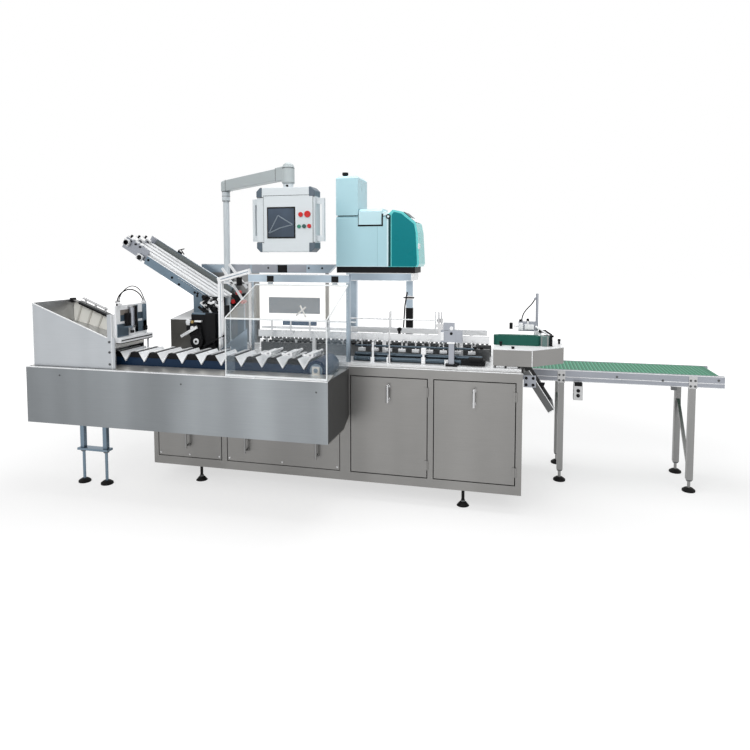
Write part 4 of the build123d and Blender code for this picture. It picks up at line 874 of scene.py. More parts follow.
@dataclass(frozen=True)
class Trough:
    """Painted rim highlight, bolts, stand feet, drum hubs, tray and the black carriers between the buckets,
    which also paint the shade in the gaps.
    """

    left: float = -646.0
    right: float = 1441.0
    front: float = -437.0
    rim: float = 865.0
    rim_width: float = 22.0
    end_wall: float = 5.5
    bolts: tuple[Span, ...] = ((-387.0, 817.0), (493.0, 803.0), (1370.0, 800.0))
    bolt_radius: float = 4.0
    last_bucket: float = 1246.0
    pitch: float = 137.0
    count: int = 12
    half_low: float = 20.5
    half_high: float = 37.0
    carrier_low: float = 930.0
    carrier_top: float = 964.0
    plate_left: float = 22.0
    plate_right: float = 6.0
    plate_height: float = 5.0
    plate_inset: float = 26.0
    belt_front: float = -300.0
    belt_rear: float = -44.0
    drums: Span = (-437.0, 1323.0)
    drum_axis: float = 901.0
    hub_depth: float = 3.0
    hub_radius: float = 40.0
    cap_reach: Span = (12.0, 10.0)
    cap_radius: float = 14.0
    legs: Span = (-460.0, -278.0)
    leg_y: float = -150.0
    leg_nut: Point = (222.0, 234.5, 20.0)
    apron_gap: float = 10.0
    apron_top: float = 880.0
    apron_low: Span = (857.5, 859.0)
    tray: float = 858.0

    def build(self) -> None:
        """Build the trim."""
        # A bright strip along the rim's front edge: a painted highlight.
        rim = Bench("trough_rim_highlight")
        rim_y = (self.front - PROUD, self.front + self.rim_width)
        rim.block((self.left, self.right), rim_y, (self.rim - 4, self.rim + PROUD))
        rim.done(Finish.EDGE, bevel=1.0)
        bolts = Bench("trough_bolts")
        for x, z in self.bolts:
            bolts.bolt((x, self.front, z), FRONT, self.bolt_radius)
        bolts.done(Finish.DARK_SHEET)
        self.carriers()
        self.hubs()
        self.stand()
        self.apron()

    def carriers(self) -> None:
        """Black blocks between neighbouring buckets, for the black carriers and the painted shade in the
        gaps, each with a bright plate on top.
        """
        carriers = Bench("bucket_carriers_and_gap_shade")
        plates = Bench("carrier_plates")
        plate_y = (self.belt_front + self.plate_inset, self.belt_rear)
        plate_z = (self.carrier_top, self.carrier_top + self.plate_height)
        for index in range(1, self.count):
            x = self.last_bucket - index * self.pitch
            far = x + self.pitch
            outline = (
                (x + self.half_low, self.carrier_low), (far - self.half_low, self.carrier_low),
                (far - self.half_high, self.carrier_top), (x + self.half_high, self.carrier_top),
            )
            carriers.prism(outline, "Y", self.belt_front, self.belt_rear)
            middle = (x + far) / 2
            plates.block((middle - self.plate_left, middle - self.plate_right), plate_y, plate_z)
        carriers.done(Finish.BLACK, bevel=2.0)
        plates.done(Finish.EDGE, bevel=1.0)

    def hubs(self) -> None:
        """Hub and cap on the front of each drum."""
        hub = Bench("drum_hubs")
        front, z = self.belt_front, self.drum_axis
        for x in self.drums:
            hub.rod((x, front - self.hub_depth, z), (x, front, z), self.hub_radius)
            hub.rod((x, front - self.cap_reach[0], z), (x, front - self.cap_reach[1], z), self.cap_radius)
        hub.done(Finish.STEEL_BLUE, bevel=1.5)

    def stand(self) -> None:
        """Nuts and rubber soles of the stand's feet."""
        nuts = Bench("stand_nuts")
        soles = Bench("stand_soles")
        low, high, radius = self.leg_nut
        for x in self.legs:
            nuts.rod((x, self.leg_y, low), (x, self.leg_y, high), radius, sides=6)
            Sole().add(soles, x, self.leg_y)
        nuts.done(Finish.DARK_SHEET, bevel=0.8)
        soles.done(Finish.RUBBER, bevel=1.5)

    def apron(self) -> None:
        """Polished tray that slopes from the rim up to the belt."""
        near = self.front + self.rim_width
        far = self.belt_front - self.apron_gap
        low, high = self.apron_low
        slope = ((near, high), (far, self.apron_top), (far, self.tray), (near, low))
        apron = Bench("trough_apron").prism(slope, "X", self.left + self.end_wall, self.right - self.end_wall)
        apron.done(Finish.TRAY)


@dataclass(frozen=True)
class Hopper:
    """Liner, dark cover bar with its painted shadow, upper rods, painted edge highlights and screws of the
    feed hopper.
    """

    left: float = -616.0
    length: float = 567.0
    front: float = -400.0
    rear_face: float = -25.0
    top: float = 1282.0
    fall: float = 215.0
    base: float = 860.0
    floor_left: float = 1132.0
    floor_right: float = 990.0
    sheet: float = 5.2
    liner_gap: float = 0.5
    liner_depth: float = 1.5
    ribs: int = 6
    rib_depth: float = 9.0
    rib_foot: float = 14.0
    lean: float = 46.0
    first_rib: float = 28.0
    spare_pitch: float = 0.6
    cover_front: float = -56.0
    cover_rear: float = -20.5
    cover_start: float = 70.0
    cover_overrun: float = 8.0
    cover_low: float = 5.5
    cover_high: float = 17.0
    guide_y: Span = (-44.0, -28.0)
    guide_x: Span = (-520.0, -330.0)
    guide_lift: Span = (46.0, 40.0)
    guide_radius: float = 5.0
    guide_posts: Point = (-500.0, -420.0, -340.0)
    guide_post: Bar = ((0, -36, 16), (0, -36, 52), 7)
    sensor_x: Span = (-230.0, -190.0)
    sensor_box: Box = ((-9, 9), (-52, -24), (16, 40))
    sensor_stem: Bar = ((0, -38, 40), (0, -38, 56), 6)
    corner: Box = ((-1, 22), (-60, -19), (-22, 9))
    rib_clearance: Span = (4.0, 8.0)
    rib_head: Span = (-4.0, 10.0)
    shadow_drop: Span = (12.5, 1.0)
    shadow_depth: float = 8.0
    post_front: float = 30.0
    post_rear: float = 34.2
    post_top: float = 1215.0
    edge_depth: float = 7.0
    bolt_heights: Point = (897.0, 974.0, 1040.0)
    bolt_inset: float = 13.0
    bolt_radius: float = 6.0

    def wall_top(self, x: float) -> float:
        """Height of the sloping wall at a place along the hopper."""
        return self.top - self.fall * (x - self.left) / self.length

    def floor(self, x: float) -> float:
        """Height of the sloping floor at a place along the hopper."""
        return self.floor_left - (self.floor_left - self.floor_right) * (x - self.left) / self.length

    def build(self) -> None:
        """Build the liner and trim."""
        right = self.left + self.length
        self.liner(right)
        self.cover(right)
        self.guides()
        end = Bench("hopper_wall_end")
        end.block((self.left, self.left + 4), (-61, self.rear_face), (self.base + 4, self.top - 22))
        end.done(Finish.BRIGHT)
        corner = Bench("hopper_corner")
        corner.block(*box_at(self.corner, (self.left, 0, self.top)))
        corner.done(Finish.BLACK, bevel=2.0)
        self.edges(right)
        bolts = Bench("hopper_bolts")
        for z in self.bolt_heights:
            bolts.bolt((right + self.bolt_inset, self.front, z), FRONT, self.bolt_radius)
        bolts.done(Finish.DARK_SHEET)

    def liner(self, right: float) -> None:
        """Cream liner on the rear wall, with its leaning ribs.

        Args:
            right: the hopper's right end.
        """
        inner = self.left + self.sheet
        gap = self.liner_gap
        sheet = (
            (inner, self.floor(self.left) + gap), (right - gap, self.floor(right) + gap),
            (right - gap, self.wall_top(right) - gap), (inner, self.wall_top(inner) - gap),
        )
        ribs = Bench("hopper_ribs")
        step = self.length / (self.ribs + self.spare_pitch)
        for index in range(self.ribs):
            x = self.left + self.first_rib + index * step
            tip = x + self.lean
            low = self.floor(x) + self.rib_clearance[0]
            high = self.wall_top(tip) - self.rib_clearance[1]
            near, far = self.rib_head
            outline = ((x, low), (x + self.rib_foot, low), (tip + far, high), (tip + near, high))
            ribs.prism(outline, "Y", self.rear_face - self.rib_depth, self.rear_face)
        ribs.done(Finish.LINER_SHADE, bevel=3.0)
        liner = Bench("hopper_liner").prism(sheet, "Y", self.rear_face - self.liner_depth, self.rear_face)
        liner.done(Finish.CREAM)

    def cover(self, right: float) -> None:
        """Dark bar along the top of the rear wall, with a black strip under it as its painted shadow.

        Args:
            right: the hopper's right end.
        """
        start = self.left + self.cover_start
        end = right + self.cover_overrun
        outline = tuple(
            (x, self.wall_top(x) + lift)
            for x, lift in (
                (start, self.cover_low), (end, self.cover_low),
                (end, self.cover_high), (start, self.cover_high),
            )
        )
        bar = Bench("hopper_cover_bar").prism(outline, "Y", self.cover_front, self.cover_rear)
        bar.done(Finish.DARK_SHEET, bevel=1.5)
        # A black strip just under the bar's front: a painted shadow.
        low, high = self.shadow_drop
        lower = [(x, z - low) for x, z in outline[:2]] + [(x, z - high) for x, z in outline[1::-1]]
        far = self.cover_front + self.shadow_depth
        under = Bench("hopper_bar_shadow").prism(lower, "Y", self.cover_front, far)
        under.done(Finish.BLACK)

    def guides(self) -> None:
        """Two guide rods on three posts, and two small sensors."""
        rods = Bench("hopper_rods")
        start, end = self.guide_x
        for y in self.guide_y:
            near = (start, y, self.wall_top(start) + self.guide_lift[0])
            far = (end, y, self.wall_top(end) + self.guide_lift[1])
            rods.rod(near, far, self.guide_radius)
        for x in self.guide_posts:
            rods.rod(*bar_at(self.guide_post, (x, 0, self.wall_top(x))))
        for x in self.sensor_x:
            spot = (x, 0, self.wall_top(x))
            rods.block(*box_at(self.sensor_box, spot))
            rods.rod(*bar_at(self.sensor_stem, spot))
        rods.done(Finish.CHROME, bevel=1.0)

    def edges(self, right: float) -> None:
        """Painted highlights along the cut edges of the front panel and of its corner post.

        Args:
            right: the hopper's right end.
        """
        edges = Bench("hopper_edge_highlights")
        slope = (
            (self.left, self.top - 4), (right, self.wall_top(right) - 4),
            (right, self.wall_top(right) + 1.5), (self.left, self.top + 1.5),
        )
        near, far = self.front - PROUD, self.front + self.edge_depth
        edges.prism(slope, "Y", near, far)
        edges.block((self.left - 1, self.left + 5), (near, far), (self.base, self.top + 1))
        post_x = (right + self.post_front, right + self.post_rear)
        edges.block(post_x, (near, self.front + 34), (self.base, self.post_top))
        edges.done(Finish.EDGE, bevel=0.8)


@dataclass(frozen=True)
class PickUnit:
    """Window panes, plates, valve, cylinder trim and clamps of the pick-off unit."""

    trims: tuple[Trim, ...] = (
        Trim("pick_pane_upper", Finish.TAUPE, boxes=(((-14, -6), (-327, -217), (1206, 1240)),)),
        Trim("pick_pane_lower", Finish.SLATE, boxes=(((-14, -6), (-327, -217), (1165, 1206)),)),
        Trim("pick_pane_far", Finish.SLATE, boxes=(((-14, -6), (-165, -85), (1165, 1210)),)),
        Trim("pick_plates", Finish.STEEL_BLUE, bevel=1.0, boxes=(
            ((-4, 1), (-362, -250), (1066, 1150)),
            ((-4, 1), (-178, -150), (1080, 1262)),
            ((-4, 1), (-96, -52), (1080, 1262)),
            ((-4, 1), (-178, -52), (1080, 1150)),
        )),
        Trim("pick_valve", Finish.BLACK, bevel=1.5, boxes=(
            ((-4, 22), (-286, -256), (1132, 1216)),
            ((-4, 12), (-86, -60), (1084, 1112)),
            ((24, 40), (-219, -210), (1128, 1262)),
            ((-12, 27), (-366, -26), (1024, 1030)),
        ), bars=(
            ((14, -231.8, 1082), (14, -231.8, 1100), 12),
            ((-10, -340, 1270), (-10, -340, 1286), 12),
            ((-10, -352, 1278), (-10, -328, 1278), 7),
        )),
    )
    caps: Trim = Trim("pick_caps", Finish.CHROME, bevel=1.0, boxes=(
        ((-5, 33), (-251, -213), (1118, 1132)),
        ((-5, 33), (-251, -213), (1252, 1266)),
    ), bars=(
        ((-10, -366, 1296), (-10, -320, 1296), 6),
    ))
    hose_nuts: Span = (-347.0, -79.0)
    # A thin black strip for the slot in the frame: painted shade.
    slot: Trim = Trim("pick_strip_slot_shade", Finish.BLACK, boxes=(((26, 27.2), (-360, -34), (1042, 1049)),))

    def build(self) -> None:
        """Build the trim on the pick-off frame."""
        for trim in self.trims:
            trim.build()
        caps = self.caps.bench()
        for y in self.hose_nuts:
            caps.rod((-4, y, 1284), (-4, y, 1288), 10, sides=6)
        caps.done(self.caps.finish, self.caps.bevel)
        self.slot.build()


@dataclass(frozen=True)
class Magazine:
    """Painted edge highlights, bolts, painted shade sheets, stop and the driven head of the carton magazine.
    """

    low_x: float = 290.0
    low_z: float = 1330.0
    tilt: float = 30.0
    front: float = 340.0
    edges: Trim = Trim("magazine_edge_highlights", Finish.EDGE, bevel=0.8, boxes=(
        ((-600, 0), (338.5, 350), (-46, -42)),
        ((-290, 0), (336, 340), (-62, -58)),
        ((-825, 0), (650, 661), (13, 16)),
    ))
    step: Trim = Trim("magazine_step", Finish.STEEL_BLUE, bevel=1.2, boxes=(
        ((-290, -6), (336, 340), (-111, -58)),
    ))
    # A black sheet under the rails, showing in the gaps between them: painted shade.
    gap_shade: Trim = Trim("magazine_gap_shade", Finish.BLACK, boxes=(((-765, 24), (351, 649), (-58, -50.5)),))
    # A dark grey sheet over the far plate's inner face: painted shade.
    far_shade: Trim = Trim("magazine_far_shade", Finish.RAIL_SHADE, boxes=(
        ((-766, -4), (647.5, 650), (-48, 8)),
    ))
    stop: Trim = Trim("magazine_stop", Finish.BLACK, bevel=0.8, boxes=(
        ((-560, -520), (646, 656), (14, 30)),
    ), bars=(
        ((-560, 651, 30), (-520, 651, 66), 4),
        ((-500, 651, 26), (-540, 651, 44), 4),
    ))
    step_start: float = -290.0
    step_depth: float = 4.0
    bolts: tuple[Span, ...] = ((-578, -70), (-340, -84), (-262, -98), (-120, -84), (-96, -78), (-90, -96))
    bolt_radius: float = 7.0
    roof: tuple[Span, ...] = ((299.0, 1115.5), (660.0, 1170.5), (660.0, 1173.0), (299.0, 1118.0))
    roof_x: Span = (-41.0, 241.0)
    shaft_x: float = -797.0
    lower_shaft_x: float = -640.0
    bearings: tuple[float, ...] = (-22.0, 62.0, 150.0, 240.0)
    lower_bearings: Span = (-26.0, 46.0)
    tension_screws: Point = (20.0, 110.0, 196.0)
    blocks: Point = (-790.0, -742.0, -700.0)
    bearing: Box = ((-25, 25), (0, 20), (-64, -16))
    collar: Bar = ((0, -6, -40), (0, 26, -40), 19)
    lower_bearing: Box = ((-28, 24), (0, 16), (-104, -60))
    lower_collar: Bar = ((0, -5, -82), (0, 21, -82), 18)
    screw: Bar = ((-826, 0, 4), (-742, 0, 4), 6)
    screw_nut: Bar = ((-800, 0, -2), (-800, 0, 22), 9)
    side_block: Box = ((0, 26), (4, 30), (-30, 2))
    block_pin: Bar = ((13, -10, -18), (13, 6, -18), 7)

    def place(self) -> Matrix:
        """Matrix from the magazine's own slope to the machine, in millimetres."""
        return leaning((self.low_x, 0, self.low_z), self.tilt)

    def build(self) -> None:
        """Build the trim."""
        turn = self.place()
        self.sides(turn)
        # A light sheet over the dark housing's top: a painted highlight where light falls on the roof.
        Bench("drive_housing_roof_highlight").prism(self.roof, "X", *self.roof_x).done(Finish.RAIL)
        self.stop.build(turn)
        self.head(turn)

    def sides(self, turn: Matrix) -> None:
        """Painted highlights along the cut edges, stepped plate and bolts of the side plates, and the painted
        shade under the rails and on the far plate.

        Args:
            turn: the matrix of the magazine's slope.
        """
        self.edges.build(turn)
        self.step.build(turn)
        bolts = Bench("magazine_bolts")
        for u, lift in self.bolts:
            face = self.front - self.step_depth if u > self.step_start else self.front
            bolts.bolt(turn @ Vector((u, face, lift)), FRONT, self.bolt_radius)
        bolts.done(Finish.BLACK)
        self.gap_shade.build(turn)
        self.far_shade.build(turn)

    def head(self, turn: Matrix) -> None:
        """Build the bearings, collars and tension screws around the head's shafts.

        Args:
            turn: the matrix of the magazine's slope.
        """
        black = Bench("magazine_head_bearings")
        steel = Bench("magazine_head_blocks")
        for x, places, block, collar in (
            (self.shaft_x, self.bearings, self.bearing, self.collar),
            (self.lower_shaft_x, self.lower_bearings, self.lower_bearing, self.lower_collar),
        ):
            for dy in places:
                spot = (x, self.front + dy, 0)
                steel.block(*box_at(block, spot), turn)
                black.rod(*bar_at(collar, spot), turn=turn)
        for dy in self.tension_screws:
            spot = (0, self.front + dy, 0)
            steel.rod(*bar_at(self.screw, spot), turn=turn)
            black.rod(*bar_at(self.screw_nut, spot), turn=turn)
        for u in self.blocks:
            spot = (u, self.front, 0)
            steel.block(*box_at(self.side_block, spot), turn)
            black.rod(*bar_at(self.block_pin, spot), turn=turn)
        steel.done(Finish.RAIL, bevel=1.2)
        black.done(Finish.BLACK, bevel=1.2)


@dataclass(frozen=True)
class CartonOpener:
    """Pulleys, levers, links and the red gripper of the carton opener."""

    plates: Trim = Trim("opener_drive_plates", Finish.BLACK, bevel=3.0, boxes=(
        ((258, 378), (89, 102), (898, 1180)),
        ((380, 456), (66, 96), (898, 1192)),
    ), bars=(
        ((312, 60, 993), (312, 92, 993), 49),
        ((282, 62, 1086), (282, 92, 1086), 49),
    ), slabs=(
        (((234, 1078), (268, 1006), (356, 1004), (340, 1100), (262, 1132)), "Y", 68, 88),
        (((372, 968), (540, 1052), (540, 1040), (382, 958)), "Y", 40, 78),
    ))
    hubs: Trim = Trim("opener_hubs", Finish.EDGE, bevel=2.0, boxes=(
        ((236, 262), (60, 84), (1106, 1150)),
        ((300, 352), (58, 80), (1128, 1140)),
    ), bars=(
        ((312, 55, 993), (312, 60, 993), 22),
        ((282, 57, 1086), (282, 62, 1086), 15),
        ((250, 56, 1128), (250, 84, 1128), 17),
    ))
    # A black disc for the bore of the hub: painted shade.
    bore_shade: Trim = Trim("opener_hub_bore_shade", Finish.BLACK, bars=(((312, 53, 993), (312, 55.5, 993), 9),))
    fitting: Trim = Trim("opener_fitting", Finish.BRASS, bevel=1.0, bars=(
        ((286, 52, 1130), (286, 80, 1130), 11),
    ))
    dots: Trim = Trim("carrier_dots", Finish.BLACK, bevel=1.0, boxes=(
        ((560, 600), (188, 196), (1380, 1440)),
    ))
    cylinder: Trim = Trim("gripper_cylinder", Finish.BLACK, bevel=3.0, bars=(
        ((472, 300, 1262), (512, 300, 1230), 26),
        ((500, 300, 1240), (530, 300, 1216), 14),
    ))
    bracket: Trim = Trim("gripper_bracket", Finish.RED, bevel=1.0, boxes=(
        ((548, 566), (296, 316), (1150, 1232)),
    ))
    crank: Box = ((-8, 136), (-6, 6), (-10, 10))
    crank_at: Point = (206, 52, 1030)
    crank_tilt: float = -29.0
    lever: Box = ((-42, 42), (-7, 7), (-9, 9))
    lever_y: float = 150.0
    levers: tuple[Point, ...] = (
        (334, 1236, 34), (362, 1210, 50), (398, 1250, 18), (420, 1212, 64), (352, 1176, 12),
    )
    pins: tuple[Span, ...] = ((330, 1262), (372, 1286), (404, 1262), (440, 1236), (446, 1284))
    push_rod: Bar = ((400, 120, 1180), (446, 120, 1040), 6)
    links: Trim = Trim("opener_links", Finish.BLACK, bevel=2.5, boxes=(
        ((300, 470), (168, 196), (1190, 1300)),
        ((452, 500), (110, 200), (898, 1240)),
    ))
    link: Box = ((-36, 36), (-6, 6), (-8, 8))
    link_y: float = 136.0
    link_places: tuple[Point, ...] = ((318, 1208, 40), (380, 1236, -20), (430, 1190, 75), (352, 1274, -38))
    joints: tuple[Span, ...] = ((352, 1196), (416, 1222), (382, 1168), (334, 1300))
    pin: Bar = ((0, 138, 0), (0, 176, 0), 12)
    joint: Bar = ((0, 126, 0), (0, 170, 0), 15)
    bar_groove: Box = ((12, 224), (-15, -13.6), (14, 19))
    cross_plate: Box = ((452, 640), (196, 216), (1392, 1406))
    post_x: float = 510.0
    post_y: float = 54.0
    post_top: float = 1411.0
    base: float = 898.0
    carrier_tilt: float = -15.0
    bar_y: float = 200.0
    flat_bars: tuple[tuple[Span, Span], ...] = (((444, 1504), (603, 1279)), ((499, 1533), (635, 1364)))
    rotor: Span = (548.0, 1285.0)
    caps: int = 3
    cap_reach: float = 42.0
    cap_y: Span = (226.0, 268.0)
    cap_radius: float = 16.0

    def build(self) -> None:
        """Build the machinery around the drive block."""
        self.plates.build()
        hubs = self.hubs.bench().block(*self.crank, leaning(self.crank_at, self.crank_tilt))
        hubs.done(self.hubs.finish, self.hubs.bevel)
        self.bore_shade.build()
        self.fitting.build()
        self.mechanism()
        self.carrier()
        self.gripper()

    def mechanism(self) -> None:
        """White levers and dark links over the drive block."""
        white = Bench("opener_levers")
        for x, z, tilt in self.levers:
            white.block(*self.lever, leaning((x, self.lever_y, z), tilt))
        for x, z in self.pins:
            white.rod(*bar_at(self.pin, (x, 0, z)))
        white.rod(*self.push_rod)
        white.done(Finish.EDGE, bevel=2.0)
        dark = self.links.bench()
        for x, z, tilt in self.link_places:
            dark.block(*self.link, leaning((x, self.link_y, z), tilt))
        for x, z in self.joints:
            dark.rod(*bar_at(self.joint, (x, 0, z)))
        dark.done(self.links.finish, self.links.bevel)

    def carrier(self) -> None:
        """Painted shade in the carrier bar's groove and along the post's edge, the two flat bars and a dark
        plate.
        """
        x, y, top = self.post_x, self.post_y, self.post_top
        groove_shade = Bench("carrier_groove_shade")
        groove_shade.block(*self.bar_groove, leaning((x, y, top), self.carrier_tilt))
        groove_shade.block((x + 3, x + 6), (y - 14.8, y - 13), (self.base, top - 8))
        groove_shade.done(Finish.STEEL_BLUE)
        bars = Bench("carrier_flat_bars")
        for (x0, z0), (x1, z1) in self.flat_bars:
            tilt = math.degrees(math.atan2(z0 - z1, x1 - x0))
            reach = math.hypot(x1 - x0, z1 - z0)
            bars.block((0, reach), (-4, 4), (-9, 9), leaning((x0, self.bar_y, z0), tilt))
        bars.block(*self.cross_plate)
        bars.done(Finish.WHITE, bevel=1.0)
        self.dots.build()

    def gripper(self) -> None:
        """Red caps on the vacuum rotor, and the dark cylinder with its red bracket behind it."""
        red = Bench("gripper_caps", "opener_rotor")
        near, far = self.cap_y
        for index in range(self.caps):
            angle = math.radians(90 + index * 360 / self.caps)
            x = self.rotor[0] + self.cap_reach * math.cos(angle)
            z = self.rotor[1] + self.cap_reach * math.sin(angle)
            red.rod((x, near, z), (x, far, z), self.cap_radius)
        red.done(Finish.RED, bevel=2.0)
        self.cylinder.build()
        self.bracket.build()


@dataclass(frozen=True)
class Guard:
    """Painted highlights along cut edges and hems, hinges, and what shows inside the clear guard."""

    left: float = 791.0
    right: float = 1435.0
    front: float = -430.0
    hinge_y: float = 22.0
    hinge_z: float = 1408.0
    fold: float = 1220.0
    hem: float = 870.0
    hinges: Span = (887.6, 1338.4)
    hinge_leaf: Box = ((-24, 24), (27.5, 29.4), (1417, 1458))
    hinge_bolts: tuple[Point, ...] = ((-13, 27.5, 1447), (13, 27.5, 1447))
    hinge_bolt_radius: float = 6.0
    header_left: float = 727.0
    header_front: float = 27.6
    rail_posts: tuple[float, ...] = (820, 960, 1100, 1240, 1380)
    rail_post: Bar = ((0, 204, 1040), (0, 204, 1150), 6)
    pusher_places: Point = (1000, 1137, 1274)
    pusher_boxes: tuple[Box, ...] = (
        ((-58, 30), (-250, -232), (975, 988)),
        ((-14, 26), (-286, -140), (978, 1000)),
    )
    pusher_rod: Bar = ((6, -286, 989), (6, -60, 989), 8)
    post_sleeve: Trim = Trim("guard_post_sleeve", Finish.CHROME, bars=(
        ((739, 30, 900), (739, 30, 1412), 11),
    ))
    inner_plate: Trim = Trim("guard_inner_plate", Finish.INNER_BLUE, bevel=1.0, boxes=(
        ((757, 1142), (296, 302), (1182, 1296)),
        ((870, 1120), (276, 296), (1100, 1128)),
    ))
    inner_rails: Trim = Trim("guard_inner_rails", Finish.EDGE, bevel=1.0, boxes=(
        ((740, 1400), (208, 224), (1082, 1098)),
        ((700, 1430), (196, 212), (1138, 1146)),
    ), bars=(
        ((1010, 180, 1180), (1080, 180, 1240), 6),
        ((1080, 180, 1170), (1040, 180, 1250), 6),
    ))

    def build(self) -> None:
        """Build edges, hinges and inner fittings."""
        self.edges()
        self.header()
        self.post_sleeve.build()
        self.inner_plate.build()
        rails = self.inner_rails.bench()
        for x in self.rail_posts:
            rails.rod(*bar_at(self.rail_post, (x, 0, 0)))
        rails.done(self.inner_rails.finish, self.inner_rails.bevel)
        pushers = Bench("bag_pushers")
        for x in self.pusher_places:
            for box in self.pusher_boxes:
                pushers.block(*box_at(box, (x, 0, 0)))
            pushers.rod(*bar_at(self.pusher_rod, (x, 0, 0)))
        pushers.done(Finish.EDGE, bevel=2.0)

    def edges(self) -> None:
        """Painted highlights along the cut edges round the lid's sloping top and its front."""
        rise = self.hinge_z - self.fold
        depth = self.hinge_y - self.front
        reach = math.hypot(rise, depth)
        place = Matrix.Translation((0, self.front, self.fold))
        roof = place @ Matrix.Rotation(math.atan2(rise, depth), 4, "X")
        near = self.front - 1.5
        far = self.front + 8
        edges = Bench("guard_edge_highlights", "guard_lid")
        for x in ((self.left, self.left + 5), (self.right - 6, self.right)):
            edges.block(x, (4, reach - 16), (-4, 1.5), roof)
            edges.block(x, (self.front - PROUD, far), (self.hem, self.fold))
        width = (self.left, self.right)
        edges.block(width, (near, far), (self.fold - 8, self.fold + 1.5))
        edges.block(width, (near, far + 1), (self.hem - 2, self.hem + 9))
        edges.block(width, (reach - 26, reach - 14), (-4, 1.6), roof)
        edges.done(Finish.CLEAR_EDGE, bevel=0.8)

    def header(self) -> None:
        """Hinge leaves with their bolts, and painted highlights along the header's edges."""
        hinges = Bench("guard_hinges")
        for x in self.hinges:
            hinges.block(*box_at(self.hinge_leaf, (x, 0, 0)))
            for dx, y, z in self.hinge_bolts:
                hinges.bolt((x + dx, y, z), FRONT, self.hinge_bolt_radius)
        hinges.done(Finish.BLACK, bevel=0.8)
        header = Bench("guard_header_highlights")
        width = (self.header_left, self.right)
        header.block(width, (self.header_front, 34), (1464, 1469.5))
        header.block(width, (self.header_front, 30), (1415, 1418))
        header.done(Finish.EDGE, bevel=0.6)


